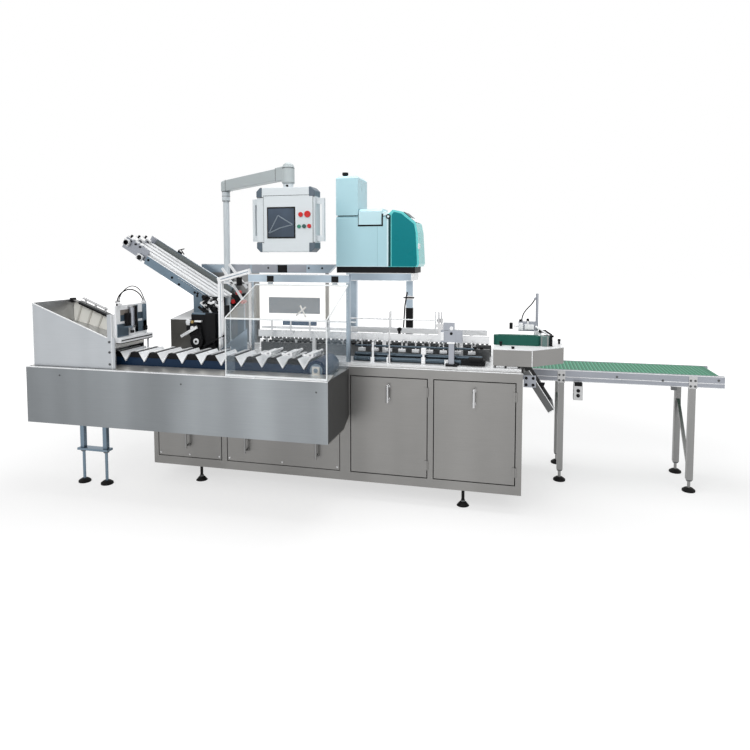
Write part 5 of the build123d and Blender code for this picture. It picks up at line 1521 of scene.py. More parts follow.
@dataclass(frozen=True)
class OperatorStation:
    """Panel face, screen, buttons, slate corners, and the arm with its domed head."""

    body: str = "operator_panel"
    left: float = 781.7
    right: float = 1191.7
    bottom: float = 1616.0
    top: float = 2043.0
    front: float = 63.25
    rear: float = 173.25
    face: float = 59.25
    corner: float = 38.0
    band: float = 62.0
    chamfer: float = 26.0
    seam: float = 4.0
    face_x: Span = (831.0, 1182.0)
    face_z: Span = (1668.0, 1991.0)
    bezel_x: Span = (857.0, 1058.0)
    bezel_z: Span = (1706.0, 1914.0)
    glass_x: Span = (866.0, 1049.0)
    glass_z: Span = (1716.0, 1904.0)
    picture: tuple[Span, ...] = ((872, 1742), (936, 1858), (1040, 1796), (952, 1776), (872, 1742))
    line_radius: float = 4.0
    red: tuple[Point, ...] = ((1097, 1862, 16), (1144, 1864, 22), (1156, 1786, 14))
    green: tuple[Point, ...] = ((1085, 1784, 13),)
    dark: tuple[Point, ...] = ((1121, 1785, 14),)
    ring: float = 3.0
    post: Span = (223.0, 700.0)
    arm_z: float = 2142.5
    reach: float = 960.0
    angle: float = -37.3
    head_fall: float = 71.0
    knuckle: float = 38.0
    knuckle_dome: float = 24.0
    head_steps: tuple[tuple[float, float, float, float], ...] = (
        (0, 106, 42, 42), (106, 22, 42, 34), (128, 14, 34, 12),
    )
    casting: Trim = Trim("swing_arm_casting", Finish.ARM_GREY, bevel=4.0, body="swing_arm", boxes=(
        ((24, 940), (-30, 30), (-41, 41)),
        ((844, 930), (-33, 33), (-46, 46)),
    ))
    seams: Trim = Trim("swing_arm_joints", Finish.DARK_SHEET, body="swing_arm", boxes=(
        ((50, 55), (-31, 31), (-42, 42)),
        ((839, 844), (-32, 32), (-44, 44)),
    ))
    knuckle_z: Point = (-43.0, 30.0, 43.0)
    head_joints: tuple[Span, ...] = ((101, 104), (6, 8))
    joint_radius: float = 42.8
    knob: Bar = ((6, -42, 2056), (6, -30, 2056), 7)
    collar_heights: Point = (2023.0, 2060.0, 2094.0)
    collar_radius: float = 32.0

    def build(self) -> None:
        """Build the panel's trim and the arm."""
        self.frame()
        self.corners()
        self.screen()
        self.buttons()
        self.arm()
        self.joints()

    def frame(self) -> None:
        """Extrusions above and below, dark seams and the raised face."""
        rails = Bench("panel_rails", self.body)
        inner = (self.left + self.corner, self.right - self.corner)
        for low in (self.bottom + 1, self.top - self.band):
            rails.block(inner, (self.front - 6, self.front), (low, low + self.band - 1))
        rails.done(Finish.PANEL_GREY, bevel=4.0, segments=3)
        seams = Bench("panel_seams", self.body)
        line = (self.front - 1.5, self.front)
        for low in (self.bottom + self.band, self.top - self.band - self.seam):
            seams.block((self.left + 1, self.right - 1), line, (low, low + self.seam))
        left, right = self.face_x
        low, high = self.face_z
        depth = (self.face - 2, self.face)
        seams.block(self.face_x, depth, (high - 3, high))
        seams.block((right - 3, right), depth, (low, high - 1))
        seams.block((left, left + 2), depth, (low, high - 1))
        seams.done(Finish.DARK_SHEET)
        face = Bench("panel_face", self.body).block(self.face_x, (self.face - 1.5, self.front), self.face_z)
        face.done(Finish.PANEL_GREY, bevel=0.8)

    def corners(self) -> None:
        """Slate corner pieces with their chamfers."""
        corners = Bench("panel_corners", self.body)
        for x0, sx in ((self.left, 1), (self.right, -1)):
            for z0, sz in ((self.bottom, 1), (self.top, -1)):
                a, b = x0 - sx, z0 - sz
                inner, end = x0 + sx * self.corner, z0 + sz * self.band
                cut = self.chamfer
                outline = ((a, end), (a, b + sz * cut), (a + sx * cut, b), (inner, b), (inner, end))
                corners.prism(outline, "Y", self.front - 7, self.rear + 1)
        corners.done(Finish.SLATE_CORNER, bevel=3.0)

    def screen(self) -> None:
        """Black bezel, dark glass and a plain picture of an open shape."""
        bezel = Bench("screen_bezel", self.body).block(self.bezel_x, (self.face - 4, self.face), self.bezel_z)
        bezel.done(Finish.BLACK, bevel=1.5)
        glass_y = (self.face - 4.6, self.face - 4)
        glass = Bench("screen_glass", self.body).block(self.glass_x, glass_y, self.glass_z)
        glass.done(Finish.SCREEN)
        picture = Bench("screen_picture", self.body)
        y = self.face - 4.4
        for (x0, z0), (x1, z1) in zip(self.picture, self.picture[1:]):
            picture.rod((x0, y, z0), (x1, y, z1), self.line_radius, sides=6)
        picture.done(Finish.SCREEN_LINE)

    def buttons(self) -> None:
        """Push buttons with their rings."""
        rings = Bench("button_rings", self.body)
        for name, finish, spots in (
            ("red_buttons", Finish.RED, self.red),
            ("green_button", Finish.GREEN_LIGHT, self.green),
            ("dark_button", Finish.DARK_GREEN, self.dark),
        ):
            caps = Bench(name, self.body)
            for x, z, radius in spots:
                rings.rod((x, self.face - 4, z), (x, self.face, z), radius + self.ring)
                caps.rod((x, self.face - 12, z), (x, self.face - 2, z), radius)
            caps.done(finish, bevel=3.0, segments=3)
        rings.done(Finish.PANEL_GREY, bevel=0.8)

    def arm_place(self) -> Matrix:
        """Matrix from the arm's own line to the machine."""
        place = Matrix.Translation((*self.post, self.arm_z))
        return place @ Matrix.Rotation(math.radians(self.angle), 4, "Z")

    def arm(self) -> None:
        """Arm with knuckle, sleeve and a domed head."""
        turn = self.arm_place()
        head = turn @ Vector((self.reach, 0, 0))
        arm = self.casting.bench(turn)
        low, middle, high = ((*self.post, self.arm_z + dz) for dz in self.knuckle_z)
        arm.rod(low, middle, self.knuckle, sides=ROUND_SIDES)
        arm.rod(middle, high, self.knuckle, sides=ROUND_SIDES, tip=self.knuckle_dome)
        low = self.arm_z - self.head_fall
        for bottom, height, radius, tip in self.head_steps:
            foot = (head.x, head.y, low + bottom)
            arm.rod(foot, (head.x, head.y, low + bottom + height), radius, sides=ROUND_SIDES, tip=tip)
        arm.done(self.casting.finish, self.casting.bevel, replaces=("panel_arm",), segments=3)

    def joints(self) -> None:
        """Dark joints on the arm, rings of its post and the knob at the panel's neck."""
        turn = self.arm_place()
        head = turn @ Vector((self.reach, 0, 0))
        low = self.arm_z - self.head_fall
        joints = self.seams.bench(turn)
        for bottom, top in self.head_joints:
            foot, end = (head.x, head.y, low + bottom), (head.x, head.y, low + top)
            joints.rod(foot, end, self.joint_radius, sides=ROUND_SIDES)
        joints.done(self.seams.finish)
        collar = Bench("arm_collar_rings")
        for z in self.collar_heights:
            collar.rod((*self.post, z), (*self.post, z + 4), self.collar_radius, sides=ROUND_SIDES)
        collar.done(Finish.DARK_SHEET)
        knob = Bench("panel_neck_knob", self.body)
        knob.rod(*bar_at(self.knob, (head.x, head.y, 0)))
        knob.done(Finish.BLACK, bevel=1.0)


@dataclass(frozen=True)
class GlueUnit:
    """Knob, painted shade in the gaps, shoulder with painted highlights, cover face with its painted shade
    and highlights, shelf edges with painted highlights, and stand sleeve of the glue unit.
    """

    knob: Trim = Trim("tower_knob", Finish.BLACK, bevel=2.0, bars=(
        ((1268, 510, 2157), (1268, 510, 2170), 17),
        ((1268, 510, 2170), (1268, 510, 2189), 22),
    ))
    tank: tuple[Trim, ...] = (
        # Black boxes in the gaps round the lid: painted shade.
        Trim("lid_gap_shade", Finish.BLACK, boxes=(
            ((1378, 1555), (458, 463.5), (1806, 1873)),
            ((1378, 1555), (450.5, 463), (1805.5, 1810.4)),
            ((1228, 1366), (461, 464), (1873, 1878)),
            ((1551, 1561.5), (449.1, 452), (1799, 1887)),
            ((1377.5, 1561.5), (449.1, 452), (1799, 1809)),
        ), bars=(
            ((1600, 444, 1866), (1600, 454, 1866), 17),
        )),
        # Paler blue strips along the tank's right and lower edges and over its shoulder: painted highlights.
        Trim("tank_shoulder", Finish.GLUE_PALE, bevel=2.5, boxes=(
            ((1590, 1599.5), (448.8, 454), (1513, 1850)),
            ((1220, 1596), (448.8, 453), (1514, 1518)),
        ), bars=(
            ((1600, 442, 1866), (1600, 445, 1866), 8),
        ), slabs=(
            (((1557, 1873), (1562, 1896), (1574, 1902), (1588, 1896), (1599, 1873)), "Y", 453, 700),
        )),
        Trim("tank_seam", Finish.GLUE_SHADE, boxes=(((1520, 1521.6), (449.5, 451), (1518, 1800)),)),
    )
    cover: tuple[Trim, ...] = (
        Trim("cover_face", Finish.TEAL, bevel=2.0, slabs=(
            ((
                (1624, 1517), (1624, 1880), (1640, 1898), (1694, 1885),
                (1783, 1811), (1794, 1752), (1805, 1534), (1796, 1517),
            ), "Y", 447, 450),
        )),
        Trim("cover_gap_shade", Finish.TEAL_DARK, boxes=(((1601, 1617), (448.5, 450), (1516, 1876)),)),
        Trim("cover_recess_shade", Finish.TEAL_DARK, bevel=1.0, slabs=(
            (((1704, 1897), (1752, 1857), (1754, 1860), (1706, 1900)), "Y", 472, 670),
        )),
        # White strips at the cover's crown and right edge: a painted highlight.
        Trim("cover_crown_highlight", Finish.WHITE, bevel=1.0, boxes=(
            ((1811, 1821.5), (449, 490), (1640, 1676)),
        ), slabs=(
            (((1754, 1855), (1790, 1825), (1792, 1828), (1756, 1858)), "Y", 472, 670),
        )),
    )
    stand: tuple[Trim, ...] = (
        # Thin bright strips along the shelf's hems: painted highlights.
        Trim("shelf_hem_highlights", Finish.EDGE, bevel=0.8, boxes=(
            ((1290, 1770), (448.8, 454), (1413, 1417)),
            ((1290, 1770), (448.8, 454), (1465, 1469)),
            ((1764, 1771), (448.8, 710), (1413, 1469)),
        )),
        Trim("post_sleeve", Finish.BLACK, bevel=1.5, boxes=(
            ((1706, 1754), (556, 604), (899, 1216)),
        ), bars=(
            ((1690, 550, 1290), (1770, 550, 1290), 5),
            ((1700, 554, 1230), (1680, 554, 900), 5),
            ((1716, 554, 1330), (1700, 554, 1230), 5),
        )),
        Trim("post_clamp", Finish.CHROME, bevel=1.5, boxes=(((1704, 1756), (553, 605), (1276, 1304)),)),
    )

    def build(self) -> None:
        """Build the trim."""
        for trim in (self.knob, *self.tank, *self.cover, *self.stand):
            trim.build()


@dataclass(frozen=True)
class CartonLine:
    """Clamps, pads, hooks, chain links and rods along the carton line."""

    left: float = 700.0
    clamp_places: tuple[Point, ...] = (
        (1576, 890, 1026), (1683, 890, 946), (1911, 900, 998), (2060, 890, 930),
    )
    clamp_foot: Box = ((-13, 13), (80, 108), (0, 40))
    clamp_stem: tuple[Span, Span] = ((-7, 7), (92, 104))
    clamp_lap: float = 30.0
    clamp_screw: Bar = ((0, 74, 18), (0, 80, 18), 8)
    pad_boxes: tuple[Box, ...] = (
        ((-24, 24), (190, 212), (952, 972)),
        ((-4, 4), (196, 206), (972, 1032)),
        ((-4, 4), (150, 206), (1024, 1032)),
    )
    pad_start: float = 1474.0
    pad_pitch: float = 92.0
    pads: int = 9
    rod_places: Span = (1988.0, 2006.0)
    rod_bars: tuple[Bar, ...] = (((0, 250, 1066), (0, 250, 1220), 5), ((0, 250, 1150), (0, 250, 1176), 11))
    link_start: float = 14.0
    link_pitch: float = 44.0
    link: Box = ((0, 24), (284, 304), (976, 990))
    links: int = 36
    tooth_start: float = 6.0
    tooth_pitch: float = 30.0
    tooth: Box = ((0, 16), (242, 258), (1004, 1019.6))
    teeth: int = 54
    clamps: Trim = Trim("tube_clamps", Finish.EDGE, bevel=2.0, boxes=(
        ((1896, 1928), (84, 112), (960, 1000)),
    ))
    rods: Trim = Trim("line_rods", Finish.CHROME, bevel=1.0, boxes=(
        ((1972, 2052), (236, 266), (1118, 1140)),
        ((1984, 2020), (242, 262), (1066, 1120)),
    ), bars=(
        ((1694, 60, 1010), (1694, 60, 1232), 4),
        ((1694, 60, 900), (1694, 60, 1010), 7),
    ))
    black: Trim = Trim("line_black_parts", Finish.BLACK, bevel=1.5, boxes=(
        ((1714, 1730), (240, 258), (1066, 1092)),
        ((2058, 2134), (30, 92), (898, 912)),
        ((2150, 2300), (88, 190), (899, 934)),
    ), bars=(
        ((1722, 236, 1096), (1722, 262, 1096), 14),
        ((2094, 40, 1105), (2094, 44, 1105), 9),
        ((2200, 78, 940), (2290, 78, 940), 15),
    ))
    long_rod: Trim = Trim("line_long_rod", Finish.TUBE, bars=(((1450, 120, 1000), (2230, 120, 1000), 7),))
    beam_edges: Trim = Trim("guide_beam_highlights", Finish.EDGE, bevel=0.6, boxes=(
        ((700, 2319), (238.8, 246), (1064, 1067.5)),
        ((1302, 2288), (520, 528), (1073, 1076)),
    ))
    sensor: tuple[Trim, ...] = (
        Trim("sensor_caps", Finish.EDGE, bevel=1.5, boxes=(
            ((2074, 2116), (38, 80), (1040, 1052)),
            ((2028, 2048), (36, 44), (1060, 1112)),
        ), bars=(
            ((2095, 38, 1138), (2095, 44, 1138), 12),
        )),
        Trim("sensor_eyes", Finish.ALUMINIUM, bevel=1.0, boxes=(((2120, 2156), (42, 44), (1060, 1108)),)),
    )

    def build(self) -> None:
        """Build the fittings."""
        self.holders()
        self.stands()
        self.chain()
        self.beam()
        for trim in self.sensor:
            trim.build()

    def holders(self) -> None:
        """Clamps of the flap tubes and pads under the guide beam."""
        clamps = self.clamps.bench()
        for x, low, high in self.clamp_places:
            clamps.block(*box_at(self.clamp_foot, (x, 0, low)))
            clamps.block(*box_at((*self.clamp_stem, (low + self.clamp_lap, high)), (x, 0, 0)))
            clamps.rod(*bar_at(self.clamp_screw, (x, 0, low)))
        clamps.done(self.clamps.finish, self.clamps.bevel)
        pads = Bench("guide_pads")
        for index in range(self.pads):
            for box in self.pad_boxes:
                pads.block(*box_at(box, (self.pad_start + index * self.pad_pitch, 0, 0)))
        pads.done(Finish.EDGE, bevel=1.5)

    def stands(self) -> None:
        """Upright rods with their collars and the plates that hold them."""
        rods = self.rods.bench()
        for x in self.rod_places:
            for bar in self.rod_bars:
                rods.rod(*bar_at(bar, (x, 0, 0)))
        rods.done(self.rods.finish, self.rods.bevel)
        self.long_rod.build()

    def chain(self) -> None:
        """Links of the carton chain among the black parts."""
        black = self.black.bench()
        for index in range(self.links):
            x = self.left + self.link_start + index * self.link_pitch
            black.block(*box_at(self.link, (x, 0, 0)))
        black.done(self.black.finish, self.black.bevel)

    def beam(self) -> None:
        """Painted highlights along the guide beam's edges, and the comb under it."""
        self.beam_edges.build()
        comb = Bench("guide_beam_comb")
        for index in range(self.teeth):
            x = self.left + self.tooth_start + index * self.tooth_pitch
            comb.block(*box_at(self.tooth, (x, 0, 0)))
        comb.done(Finish.DARK_SHEET, bevel=1.0)


@dataclass(frozen=True)
class ClosingUnit:
    """Top plate, rollers, knobs, valve head and hoses' block of the closing unit."""

    left: float = 2350.0
    knee: float = 2586.0
    right: float = 2781.0
    front: float = 60.0
    shoulder: float = 239.5
    rear: float = 561.0
    bottom: float = 912.0
    top: float = 1015.0
    roller: Span = (2664.0, 270.0)
    roller_top: float = 1081.0
    roller_radius: float = 34.0
    knobs: tuple[Point, ...] = ((2393, 200, 22), (2759, 370, 26), (2470, 92, 8), (2700, 430, 16))
    stem_radius: float = 7.0
    knob_radius: float = 11.0
    edges: Trim = Trim("closer_parts_and_edge_highlights", Finish.EDGE, bevel=0.8, boxes=(
        ((2370, 2420), (74, 110), (899, 911)),
        ((2434, 2500), (74, 90), (899, 908)),
    ), bars=(
        ((2450, 100, 899), (2450, 100, 912), 14),
    ))
    black: Trim = Trim("closer_black_parts", Finish.BLACK, bevel=1.5, boxes=(
        ((2696, 2712), (246, 292), (1015, 1072)),
        ((2660, 2720), (262, 282), (1072, 1084)),
        ((2440, 2462), (436, 462), (1098, 1140)),
        ((2632, 2680), (404, 430), (1082, 1100)),
    ), bars=(
        ((2678, 404, 1092), (2716, 404, 1068), 6),
        ((2512, 444, 1150), (2512, 444, 1164), 9),
        ((2560, 430, 1150), (2560, 430, 1172), 9),
    ))
    head: Trim = Trim("closer_head_blocks", Finish.EDGE, bevel=2.0, boxes=(
        ((2500, 2530), (418, 426), (1094, 1142)),
        ((2540, 2600), (412, 426), (1100, 1134)),
        ((2600, 2650), (416, 440), (1066, 1092)),
    ), bars=(
        ((2610, 418, 1122), (2690, 404, 1072), 8),
        ((2470, 450, 1120), (2500, 450, 1120), 7),
        ((2560, 420, 1134), (2560, 420, 1156), 7),
    ))
    cap: Trim = Trim("press_belt_cap", Finish.PRESS, bevel=1.0, boxes=(
        ((2374, 2610), (243, 297), (1079, 1081.5)),
    ))

    def build(self) -> None:
        """Build the trim."""
        self.cover()
        self.cap.build()
        guard = Bench("roller_guard")
        guard.rod((*self.roller, self.top), (*self.roller, self.roller_top), self.roller_radius, sides=32)
        guard.done(Finish.GREEN_GREY, bevel=3.0)
        self.knob_parts()
        self.head.build()

    def cover(self) -> None:
        """White top plate, painted highlights along the housing's corners, and the small bright parts at its
        foot.
        """
        left, right, near = self.left - 1, self.right + PROUD, self.front - 1.5
        plan = (
            (left, near), (self.knee, near), (right, self.shoulder), (right, self.rear), (left, self.rear),
        )
        Bench("closer_top").prism(plan, "Z", self.top - 4, self.top + 0.8).done(Finish.WHITE, bevel=0.8)
        edges = self.edges.bench()
        height = (self.bottom, self.top - 5)
        edges.block((self.knee - 3, self.knee + 2), (self.front - 1.8, self.front + 3), height)
        edges.block((self.left - PROUD, self.left + 2), (self.front - 1.4, self.front + 3), height)
        edges.done(self.edges.finish, self.edges.bevel)

    def knob_parts(self) -> None:
        """Knobs on their stems among the black parts."""
        black = self.black.bench()
        for x, y, tall in self.knobs:
            rise = self.top + tall
            black.rod((x, y, self.top), (x, y, rise), self.stem_radius)
            black.rod((x, y, rise - 4), (x, y, rise + 8), self.knob_radius, sides=6)
        black.done(self.black.finish, self.black.bevel)


@dataclass(frozen=True)
class Outfeed:
    """Joint plates, bolts, belt ribs and the switch of the outfeed, and the chute's trim."""

    left: float = 2533.0
    right: float = 3827.0
    front: float = 654.0
    rear: float = 1065.0
    top: float = 795.0
    low: float = 714.0
    legs: Span = (2796.0, 3635.0)
    leg_inset: float = 20.0
    leg_nut: Point = (72.0, 81.5, 20.0)
    plate_half: float = 26.0
    plate_depth: float = 4.0
    plate_bolts: Span = (-14.0, 14.0)
    plate_bolt_rises: Span = (8.0, 46.0)
    rail_bolts: tuple[Span, ...] = ((3160, 762), (3450, 752), (3790, 768))
    bolt_radius: float = 6.0
    hem_depth: float = 4.0
    hem_height: float = 4.5
    link: float = 25.4
    belt_inset: float = 40.0
    rib_width: float = 5.0
    rib_inset: float = 12.0
    switch: tuple[Trim, ...] = (
        Trim("switch_box", Finish.BRIGHT, bevel=3.0, boxes=(((2876, 2938), (622, 680), (593, 698)),)),
        Trim("switch_black_parts", Finish.BLACK, bevel=2.0, boxes=(
            ((2882, 2932), (619, 680), (692, 716)),
        ), bars=(
            ((2907, 612, 660), (2907, 622, 660), 12),
            ((2907, 612, 626), (2907, 622, 626), 12),
        )),
        Trim("belt_tension_block", Finish.DARK_SHEET, bevel=1.0, boxes=(
            ((3500, 3536), (640, 660), (692, 714)),
        )),
    )
    chute_plate: Trim = Trim("chute_plate", Finish.ALUMINIUM, bevel=0.8, boxes=(
        ((2537, 2612), (116, 119.5), (774, 850)),
    ))
    gusset: Trim = Trim("chute_gusset", Finish.BLACK, bevel=1.0, slabs=(
        (((2614, 800), (2668, 800), (2648, 742), (2622, 716)), "Y", 150, 168),
    ))
    chute_edge_highlights: Trim = Trim("chute_edge_highlights", Finish.EDGE, bevel=0.8, boxes=(
        ((2, 290), (118.8, 122), (40, 44)),
        ((284, 291), (119, 401), (0, 43)),
    ))
    chute_at: Point = (2533.0, 0.0, 860.0)
    chute_tilt: float = 57.0
    chute_front: float = 116.0
    chute_bolt_x: Span = (2553.0, 2595.0)
    chute_bolt_z: Span = (790.0, 832.0)
    chute_bolt_radius: float = 7.0

    def build(self) -> None:
        """Build the trim."""
        self.joints()
        # Thin bright strips along the rail's hems: painted highlights.
        hems = Bench("outfeed_hem_highlights")
        for z in (self.low, self.top - 5, self.low + 30):
            depth = (self.front - PROUD, self.front + self.hem_depth)
            hems.block((self.left, self.right), depth, (z, z + self.hem_height))
        hems.done(Finish.EDGE, bevel=0.8)
        self.belt()
        soles = Bench("outfeed_soles")
        for x, y in self.feet():
            Sole().add(soles, x, y)
        soles.done(Finish.RUBBER, bevel=1.5)
        for trim in self.switch:
            trim.build()
        self.chute()

    def feet(self) -> tuple[Span, ...]:
        """Places of the four feet."""
        rows = (self.front + self.leg_inset, self.rear - self.leg_inset)
        return tuple((x, y) for x in self.legs for y in rows)

    def joints(self) -> None:
        """Joint plates over the legs with their bolts, the rail's bolts and the feet's nuts."""
        plates = Bench("outfeed_plates")
        bolts = Bench("outfeed_bolts")
        face = self.front - self.plate_depth
        half = self.plate_half
        for x in self.legs:
            plates.block((x - half, x + half), (face, self.front), (self.low - 8, self.top - 6))
            for dx in self.plate_bolts:
                for rise in self.plate_bolt_rises:
                    bolts.bolt((x + dx, face, self.low + rise), FRONT, self.bolt_radius)
        for x, z in self.rail_bolts:
            bolts.bolt((x, self.front, z), FRONT, self.bolt_radius)
        low, high, radius = self.leg_nut
        for x, y in self.feet():
            bolts.rod((x, y, low), (x, y, high), radius, sides=6)
        plates.done(Finish.BRIGHT, bevel=0.8)
        bolts.done(Finish.DARK_SHEET, bevel=0.6)

    def belt(self) -> None:
        """Raised ribs of the modular belt, one to each link."""
        ribs = Bench("outfeed_belt_ribs")
        depth = (self.front + self.rib_inset, self.rear - self.rib_inset)
        for index in range(int((self.right - self.left - 2 * self.belt_inset) / self.link)):
            x = self.left + self.belt_inset + index * self.link
            ribs.block((x, x + self.rib_width), depth, (self.top - 0.5, self.top + 1))
        ribs.done(Finish.GREEN_RIB)

    def chute(self) -> None:
        """Painted edge highlights, bolted plate and black gusset of the reject chute."""
        self.chute_edge_highlights.build(leaning(self.chute_at, self.chute_tilt))
        self.chute_plate.build()
        bolts = Bench("chute_bolts")
        for x in self.chute_bolt_x:
            for z in self.chute_bolt_z:
                bolts.bolt((x, self.chute_front, z), FRONT, self.chute_bolt_radius)
        bolts.done(Finish.BLACK)
        self.gusset.build()


@dataclass(frozen=True)
class RearDuct:
    """Painted top-edge highlight, screws and the painted shade in the gap of the duct behind the machine."""

    left: float = -27.0
    right: float = 1127.0
    front: float = 740.0
    top: float = 1525.0
    height: float = 68.0
    slot: Span = (640.0, 720.0)
    screws: Point = (560.0, 900.0, 1010.0)
    screw_drop: float = 30.0
    screw_radius: float = 6.0
    panels: tuple[Span, ...] = ((230, 400), (420, 636), (724, 880))

    def build(self) -> None:
        """Build the trim."""
        low = self.top - self.height
        high = self.top - 6
        edge = Bench("duct_edge_highlight")
        depth = (self.front - PROUD, self.front + 4)
        edge.block((self.left, self.right), depth, (self.top - 4, self.top + 1))
        edge.done(Finish.EDGE, bevel=0.8)
        # A black strip in the gap between the panels is painted shade; the screws are black.
        dark = Bench("duct_gap_shade_and_screws").block(self.slot, (self.front - 2, self.front), (low + 2, high))
        for x in self.screws:
            dark.bolt((x, self.front, self.top - self.screw_drop), FRONT, self.screw_radius)
        dark.done(Finish.BLACK)
        tint = Bench("duct_panels")
        for x in self.panels:
            tint.block(x, (self.front - 1.5, self.front), (low + 4, high))
        tint.done(Finish.ALUMINIUM, bevel=1.0)


@dataclass(frozen=True)
class Lamp:
    """One soft square lamp: places in machine millimetres, side in metres, power in watts."""

    name: str
    at: Point
    target: Point
    size: float
    power: float

    def build(self) -> None:
        """Hang the lamp and turn it to its target."""
        data = bpy.data.lights.new(self.name, "AREA")
        data.shape = "SQUARE"
        data.size = self.size
        data.energy = self.power
        lamp = bpy.data.objects.new(self.name, data)
        bpy.context.scene.collection.objects.link(lamp)
        lamp.location = metres(*self.at)
        way = metres(*self.target) - metres(*self.at)
        lamp.rotation_euler = way.to_track_quat("-Z", "Y").to_euler()


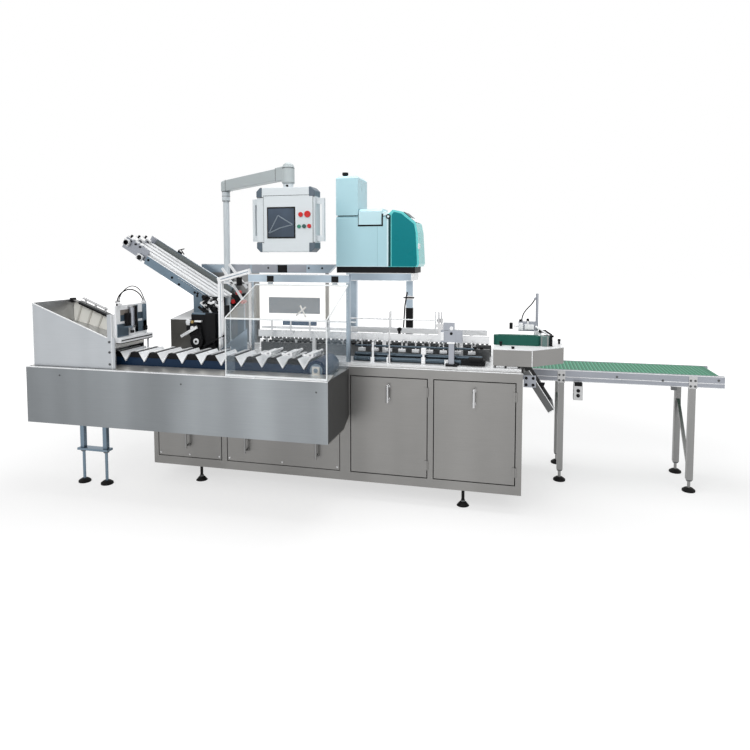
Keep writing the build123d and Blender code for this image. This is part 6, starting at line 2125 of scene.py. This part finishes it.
@dataclass(frozen=True)
class Studio:
    """Pale floor, soft lamps, white surroundings and the camera at the photograph's place."""

    camera_at: Point = (2520.0, -3689.0, 1588.0)
    yaw: float = 13.8
    pitch: float = 3.7
    focal_pixels: float = 600.0
    frame_pixels: float = 750.0
    centre_row: float = 295.0
    sensor_width: float = 36.0
    floor_half: float = 40.0
    floor_colour: Colour = (0.72, 0.72, 0.72)
    floor_roughness: float = 0.9
    floor_share: float = 0.47
    floor_glow: float = 1.3
    floor_fade: Span = (2.6, 6.0)
    sky_low: Colour = (0.30, 0.30, 0.31)
    sky_high: Colour = (1.0, 1.0, 1.0)
    sky_strength: float = 0.72
    lamps: tuple[Lamp, ...] = (
        Lamp("key", (500, -5000, 4300), (1400, 0, 800), size=3.4, power=135),
        Lamp("fill", (5200, -3600, 3000), (1800, 0, 900), size=2.8, power=45),
        Lamp("top", (1500, 600, 4800), (1500, 300, 900), size=3.4, power=110),
    )

    def build(self) -> None:
        """Build all of it."""
        self.floor()
        self.surroundings()
        for lamp in self.lamps:
            lamp.build()
        self.camera()

    def floor(self) -> None:
        """Pale floor that shows white and keeps the object's shadow."""
        half = self.floor_half
        data = bpy.data.meshes.new("floor")
        corners = [(-half, -half, 0), (half, -half, 0), (half, half, 0), (-half, half, 0)]
        data.from_pydata(corners, [], [(0, 1, 2, 3)])
        floor = bpy.data.objects.new("floor", data)
        bpy.context.scene.collection.objects.link(floor)
        data.materials.append(self.floor_material())

    def floor_material(self) -> bpy.types.Material:
        """Grey for the light on it, blended with a white glow for the background rays.

        Returns:
            The floor's material.
        """
        nodes = Nodes("studio_floor")
        nodes.shader.inputs["Base Color"].default_value = (*self.floor_colour, 1)
        nodes.shader.inputs["Roughness"].default_value = self.floor_roughness
        glow = nodes.add("ShaderNodeEmission")
        glow.inputs["Strength"].default_value = self.floor_glow
        reach = nodes.add("ShaderNodeVectorMath", operation="LENGTH")
        nodes.link(nodes.where, reach.inputs[0])
        fade = nodes.remap(reach.outputs["Value"], self.floor_fade, (self.floor_share, 1.0))
        mix = nodes.add("ShaderNodeMixShader")
        nodes.link(nodes.math("MULTIPLY", self.background_rays(nodes.tree), fade), mix.inputs["Fac"])
        nodes.link(nodes.shader.outputs["BSDF"], mix.inputs[1])
        nodes.link(glow.outputs["Emission"], mix.inputs[2])
        nodes.link(mix.outputs["Shader"], nodes.tree.nodes["Material Output"].inputs["Surface"])
        return nodes.material

    def surroundings(self) -> None:
        """White to the background rays, a soft studio gradient to the light on the object."""
        world = bpy.data.worlds.new("studio")
        world.use_nodes = True
        bpy.context.scene.world = world
        tree = world.node_tree
        backdrop = tree.nodes["Background"]
        backdrop.inputs["Color"].default_value = (1, 1, 1, 1)
        soft = tree.nodes.new("ShaderNodeBackground")
        coords = tree.nodes.new("ShaderNodeTexCoord")
        split = tree.nodes.new("ShaderNodeSeparateXYZ")
        tree.links.new(coords.outputs["Generated"], split.inputs["Vector"])
        ramp = tree.nodes.new("ShaderNodeValToRGB")
        tree.links.new(split.outputs["Z"], ramp.inputs["Fac"])
        for stop, colour in zip(ramp.color_ramp.elements, (self.sky_low, self.sky_high)):
            stop.color = (*colour, 1)
        tree.links.new(ramp.outputs["Color"], soft.inputs["Color"])
        soft.inputs["Strength"].default_value = self.sky_strength
        mix = tree.nodes.new("ShaderNodeMixShader")
        tree.links.new(self.background_rays(tree), mix.inputs["Fac"])
        tree.links.new(soft.outputs["Background"], mix.inputs[1])
        tree.links.new(backdrop.outputs["Background"], mix.inputs[2])
        tree.links.new(mix.outputs["Shader"], tree.nodes["World Output"].inputs["Surface"])

    def background_rays(self, tree: bpy.types.NodeTree) -> bpy.types.NodeSocket:
        """Factor of the rays that see the white background: from the camera, gloss and glass.

        Args:
            tree: the node tree that it is added to.

        Returns:
            The socket, 1 for those rays and 0 for the rest.
        """
        path = tree.nodes.new("ShaderNodeLightPath")
        seen = path.outputs["Is Camera Ray"]
        for kind in ("Is Glossy Ray", "Is Transmission Ray"):
            larger = tree.nodes.new("ShaderNodeMath")
            larger.operation = "MAXIMUM"
            tree.links.new(seen, larger.inputs[0])
            tree.links.new(path.outputs[kind], larger.inputs[1])
            seen = larger.outputs[0]
        return seen

    def camera(self) -> None:
        """The photograph's camera."""
        data = bpy.data.cameras.new("camera")
        data.sensor_width = self.sensor_width
        data.lens = self.focal_pixels / self.frame_pixels * self.sensor_width
        data.shift_y = (self.centre_row - self.frame_pixels / 2) / self.frame_pixels
        camera = bpy.data.objects.new("camera", data)
        bpy.context.scene.collection.objects.link(camera)
        camera.location = metres(*self.camera_at)
        camera.rotation_euler = (math.radians(90 - self.pitch), 0, math.radians(self.yaw))
        bpy.context.scene.camera = camera


ASSEMBLIES = (
    Cabinet, Trough, Hopper, PickUnit, Magazine, CartonOpener, Guard, OperatorStation, GlueUnit,
    CartonLine, ClosingUnit, Outfeed, RearDuct,
)


def dress_nodes() -> None:
    """Give every CAD node its finish."""
    finishes = {name: finish for finish, names in NODES_BY_FINISH.items() for name in names}
    for name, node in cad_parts.items():
        finishes[name].dress(node)
        LOG.info("dressed %s", name)


def main() -> None:
    """Build the studio and hoses, dress the frame, and build every sub-assembly."""
    logging.basicConfig(level=logging.INFO, format="%(message)s")
    bpy.context.scene.view_settings.view_transform = "Standard"
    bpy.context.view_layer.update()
    Studio().build()
    for hose in AIR_HOSES:
        hose.build()
    dress_nodes()
    for assembly in ASSEMBLIES:
        assembly().build()
        LOG.info("assembly %s is complete", assembly.__name__)


if __name__ == "__main__":
    main()
